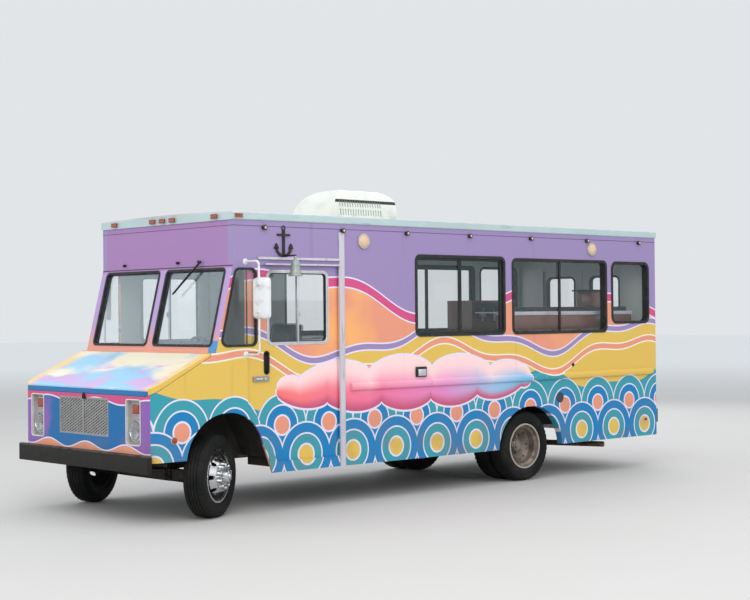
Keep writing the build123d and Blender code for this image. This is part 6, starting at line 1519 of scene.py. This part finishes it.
def pad(name, centre, size, turn, fill):
    """Foam pad: a slack rounded block, blown up by cloth pressure inside its seams, then smoothed."""
    build = Build()
    build.block(centre, size, 0.030, turn, 4)
    piece = build.finish(name, "seat_vinyl", vinyl)
    remesh = piece.modifiers.new("remesh", "REMESH")
    remesh.mode = "VOXEL"
    remesh.voxel_size = PAD_VOXEL
    settle(piece)
    before = [corner.co.copy() for corner in piece.data.vertices]
    seams = piece.vertex_groups.new(name="seams")
    for corner in piece.data.vertices:
        local = turn.transposed() @ (corner.co - Vector(centre))
        edge = sorted(abs(c) / (s / 2) for c, s in zip(local, size))
        if edge[1] > SEAM_SHARE:
            seams.add([corner.index], 1.0, "REPLACE")
    cloth = piece.modifiers.new("cloth", "CLOTH")
    cloth.settings.use_pressure = True
    cloth.settings.uniform_pressure_force = PAD_PRESSURE
    cloth.settings.vertex_group_mass = "seams"
    cloth.settings.effector_weights.gravity = 0.0
    for number in range(1, PAD_FRAMES + 1):
        bpy.context.scene.frame_set(number)
    settle(piece)
    bpy.context.scene.frame_set(1)
    for corner, start in zip(piece.data.vertices, before):
        moved = corner.co - start
        if moved.length > PAD_CAP:
            corner.co = start + moved.normalized() * PAD_CAP
    smooth = piece.modifiers.new("smooth", "SUBSURF")
    smooth.levels = smooth.render_levels = 1
    settle(piece)
    piece.data.shade_smooth()


pad("seat_cushion", *CUSHION, 0.7)
pad("seat_back", *BACK, 0.7)
frame_parts, piping = Build(), Build()
frame_parts.block((SEAT_X, along(0.900), 0.960), (0.296, 0.296, 0.318), 0.008)
frame_parts.block((SEAT_X, along(0.880), 1.124), (0.420, 0.440, 0.014), 0.004)
posts = [(SEAT_X + shift, along(1.125), 1.235) for shift in (-0.155, 0.155)]
frame_parts.blocks(posts, (0.030, 0.030, 0.240), 0.006)
# The piping follows both faces of each pad: thin is the axis of its depth, and tall its other one
for (centre, size, turn), thin, tall, inset in ((CUSHION, 2, 1, 0.012), (BACK, 1, 2, 0.010)):
    outline = rounded(size[0] + 0.006, size[tall] + 0.006, 0.040)
    for level in (-1, 1):
        points = []
        for a, b in outline + outline[:1]:
            local = Vector((a, 0, 0))
            local[tall] = b
            local[thin] = level * (size[thin] / 2 - inset)
            points.append(Vector(centre) + turn @ local)
        piping.tube(points, 0.0045, 8)
frame_parts.finish("seat_frame", "frame_black", black_metal, replaces=("driver_seat",))
piping.finish("seat_piping", "seat_vinyl", grip)

# Kitchen: cabinets of brushed stainless steel along both walls, with rolled front edges, doors
# and bar pulls, a brown raised shelf with a white edge behind the rear windows that carries a small
# oven, and a brown enamelled machine with a black control panel.
COUNTER_FRONT, COUNTER_REAR, COUNTER_HIGH = 2.350, 6.500, 1.668
COUNTER_X = 0.525
COUNTER_BACK_X = 1.069
CABINETS = 7
SHELF_FRONT, SHELF_REAR = 3.980, 6.470
SHELF_X = 0.985
SHELF_Z = 1.955
SHELF_DEPTH_X = SHELF_X - 0.190
OVEN_Y = along(5.930)
MACHINE_LOW, MACHINE_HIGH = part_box("kitchen_machine")
brushed = Finish("brushed_steel", metallic=0.85)
grain = brushed.noise(60.0, 3.0, (1, 0.04, 1))
brushed.colour(brushed.noise(2.0, 3.0).mix(linear(176, 178, 180), linear(148, 150, 152)))
brushed.rough(0.24 + 0.22 * grain)
brushed.bump(grain, 0.0004, 0.4)
coat(brushed, "kitchen_counters", "serving_shelf")
enamel = Finish("brown_enamel", roughness=0.3, coat_weight=0.5)
tone = enamel.noise(3.0, 4.0)
enamel.colour(tone.mix(linear(96, 52, 38), linear(122, 70, 50)))
enamel.bump(tone, 0.001, 0.2)
coat(enamel, "kitchen_machine")
cabinets, pulls = Build(), Build()
counter_length = COUNTER_REAR - COUNTER_FRONT
counter_middle = along((COUNTER_FRONT + COUNTER_REAR) / 2)
pitch = counter_length / CABINETS
for hand in HANDS:
    cabinets.block((hand * (COUNTER_X - 0.008), counter_middle, COUNTER_HIGH - 0.020),
                   (0.036, counter_length, 0.040), 0.014, segments=4)
    cabinets.block((hand * COUNTER_BACK_X, counter_middle, COUNTER_HIGH + 0.018),
                   (0.010, counter_length, 0.036), 0.003)
    for index in range(CABINETS):
        middle = along(COUNTER_FRONT + (index + 0.5) * pitch)
        cabinets.block((hand * (COUNTER_X - 0.009), middle, 1.225), (0.018, pitch - 0.012, 0.740), 0.004)
        bar = [(hand * (COUNTER_X - out), middle + 0.22, rise)
               for out, rise in ((0.018, 1.50), (0.050, 1.50), (0.050, 1.36), (0.018, 1.36))]
        pulls.tube(bar, 0.006, 10)
cabinets.finish("cabinet_fronts", "kitchen_steel", brushed)
pulls.finish("cabinet_pulls", "kitchen_steel", anodised)
white_rail, riser, upstand = Build(), Build(), Build()
shelf_middle = along((SHELF_FRONT + SHELF_REAR) / 2)
shelf_length = SHELF_REAR - SHELF_FRONT
shelf_low = COUNTER_HIGH + 0.090
shelf_under = SHELF_Z - 0.023
white_rail.block((SHELF_X, shelf_middle, SHELF_Z), (0.044, shelf_length, 0.046), 0.006, segments=3)
white_rail.block((SHELF_DEPTH_X, shelf_middle, SHELF_Z + 0.012), (0.360, shelf_length, 0.018), 0.004)
riser.block((SHELF_X, shelf_middle, (shelf_low + shelf_under) / 2),
            (0.024, shelf_length, shelf_under - shelf_low), 0.003)
for index in range(6):
    post_y = along(SHELF_FRONT + 0.020 + index * (shelf_length - 0.040) / 5)
    riser.block((SHELF_X - 0.014, post_y, (COUNTER_HIGH + SHELF_Z) / 2),
                (0.024, 0.040, SHELF_Z - COUNTER_HIGH - 0.02), 0.003)
    upstand.dome((SHELF_X + 0.012, post_y, SHELF_Z - 0.060), (1, 0, 0), 0.008)
upstand.block((SHELF_X - 0.060, shelf_middle, SHELF_Z + 0.048), (0.018, shelf_length - 0.04, 0.056), 0.004)
upstand.block((SHELF_DEPTH_X, OVEN_Y, SHELF_Z + 0.026), (0.300, 0.330, 0.012), 0.004)
riser.block((SHELF_DEPTH_X, OVEN_Y, SHELF_Z + 0.150), (0.260, 0.280, 0.240), 0.018, segments=4)
upstand.block((SHELF_DEPTH_X, OVEN_Y, SHELF_Z + 0.279), (0.320, 0.400, 0.020), 0.006)
white_rail.finish("window_rail", "kitchen_steel", rail_paint)
riser.finish("shelf_riser", "kitchen_steel", enamel)
upstand.finish("shelf_upstand", "kitchen_steel", black_metal)
machine_parts, machine_panel = Build(), Build()
machine_foot = Vector((MACHINE_HIGH.x, (MACHINE_LOW.y + MACHINE_HIGH.y) / 2, MACHINE_LOW.z))
machine_panel.block((machine_foot.x + 0.006, machine_foot.y, MACHINE_HIGH.z - 0.110),
                    (0.012, 0.440, 0.150), 0.006)
machine_parts.block(machine_foot + Vector((0.045, 0, 0.020)), (0.090, 0.400, 0.040), 0.006)
for shift in (-0.11, 0.11):
    machine_parts.block(machine_foot + Vector((0.035, shift, 0.270)), (0.070, 0.070, 0.060), 0.010)
    machine_parts.lathe([(0, 0.018), (0.045, 0.016), (0.050, 0.012), (0.050, 0)],
                        machine_foot + Vector((0.045, shift, 0.240)), (0, 0, -1), 20)
    lever = [machine_foot + Vector((a, shift, b)) for a, b in ((0.050, 0.300), (0.075, 0.370))]
    machine_parts.tube(lever, 0.008, 10)
machine_parts.finish("machine_parts", "kitchen_steel", brushed)
machine_panel.finish("machine_panel", "kitchen_steel", grip)
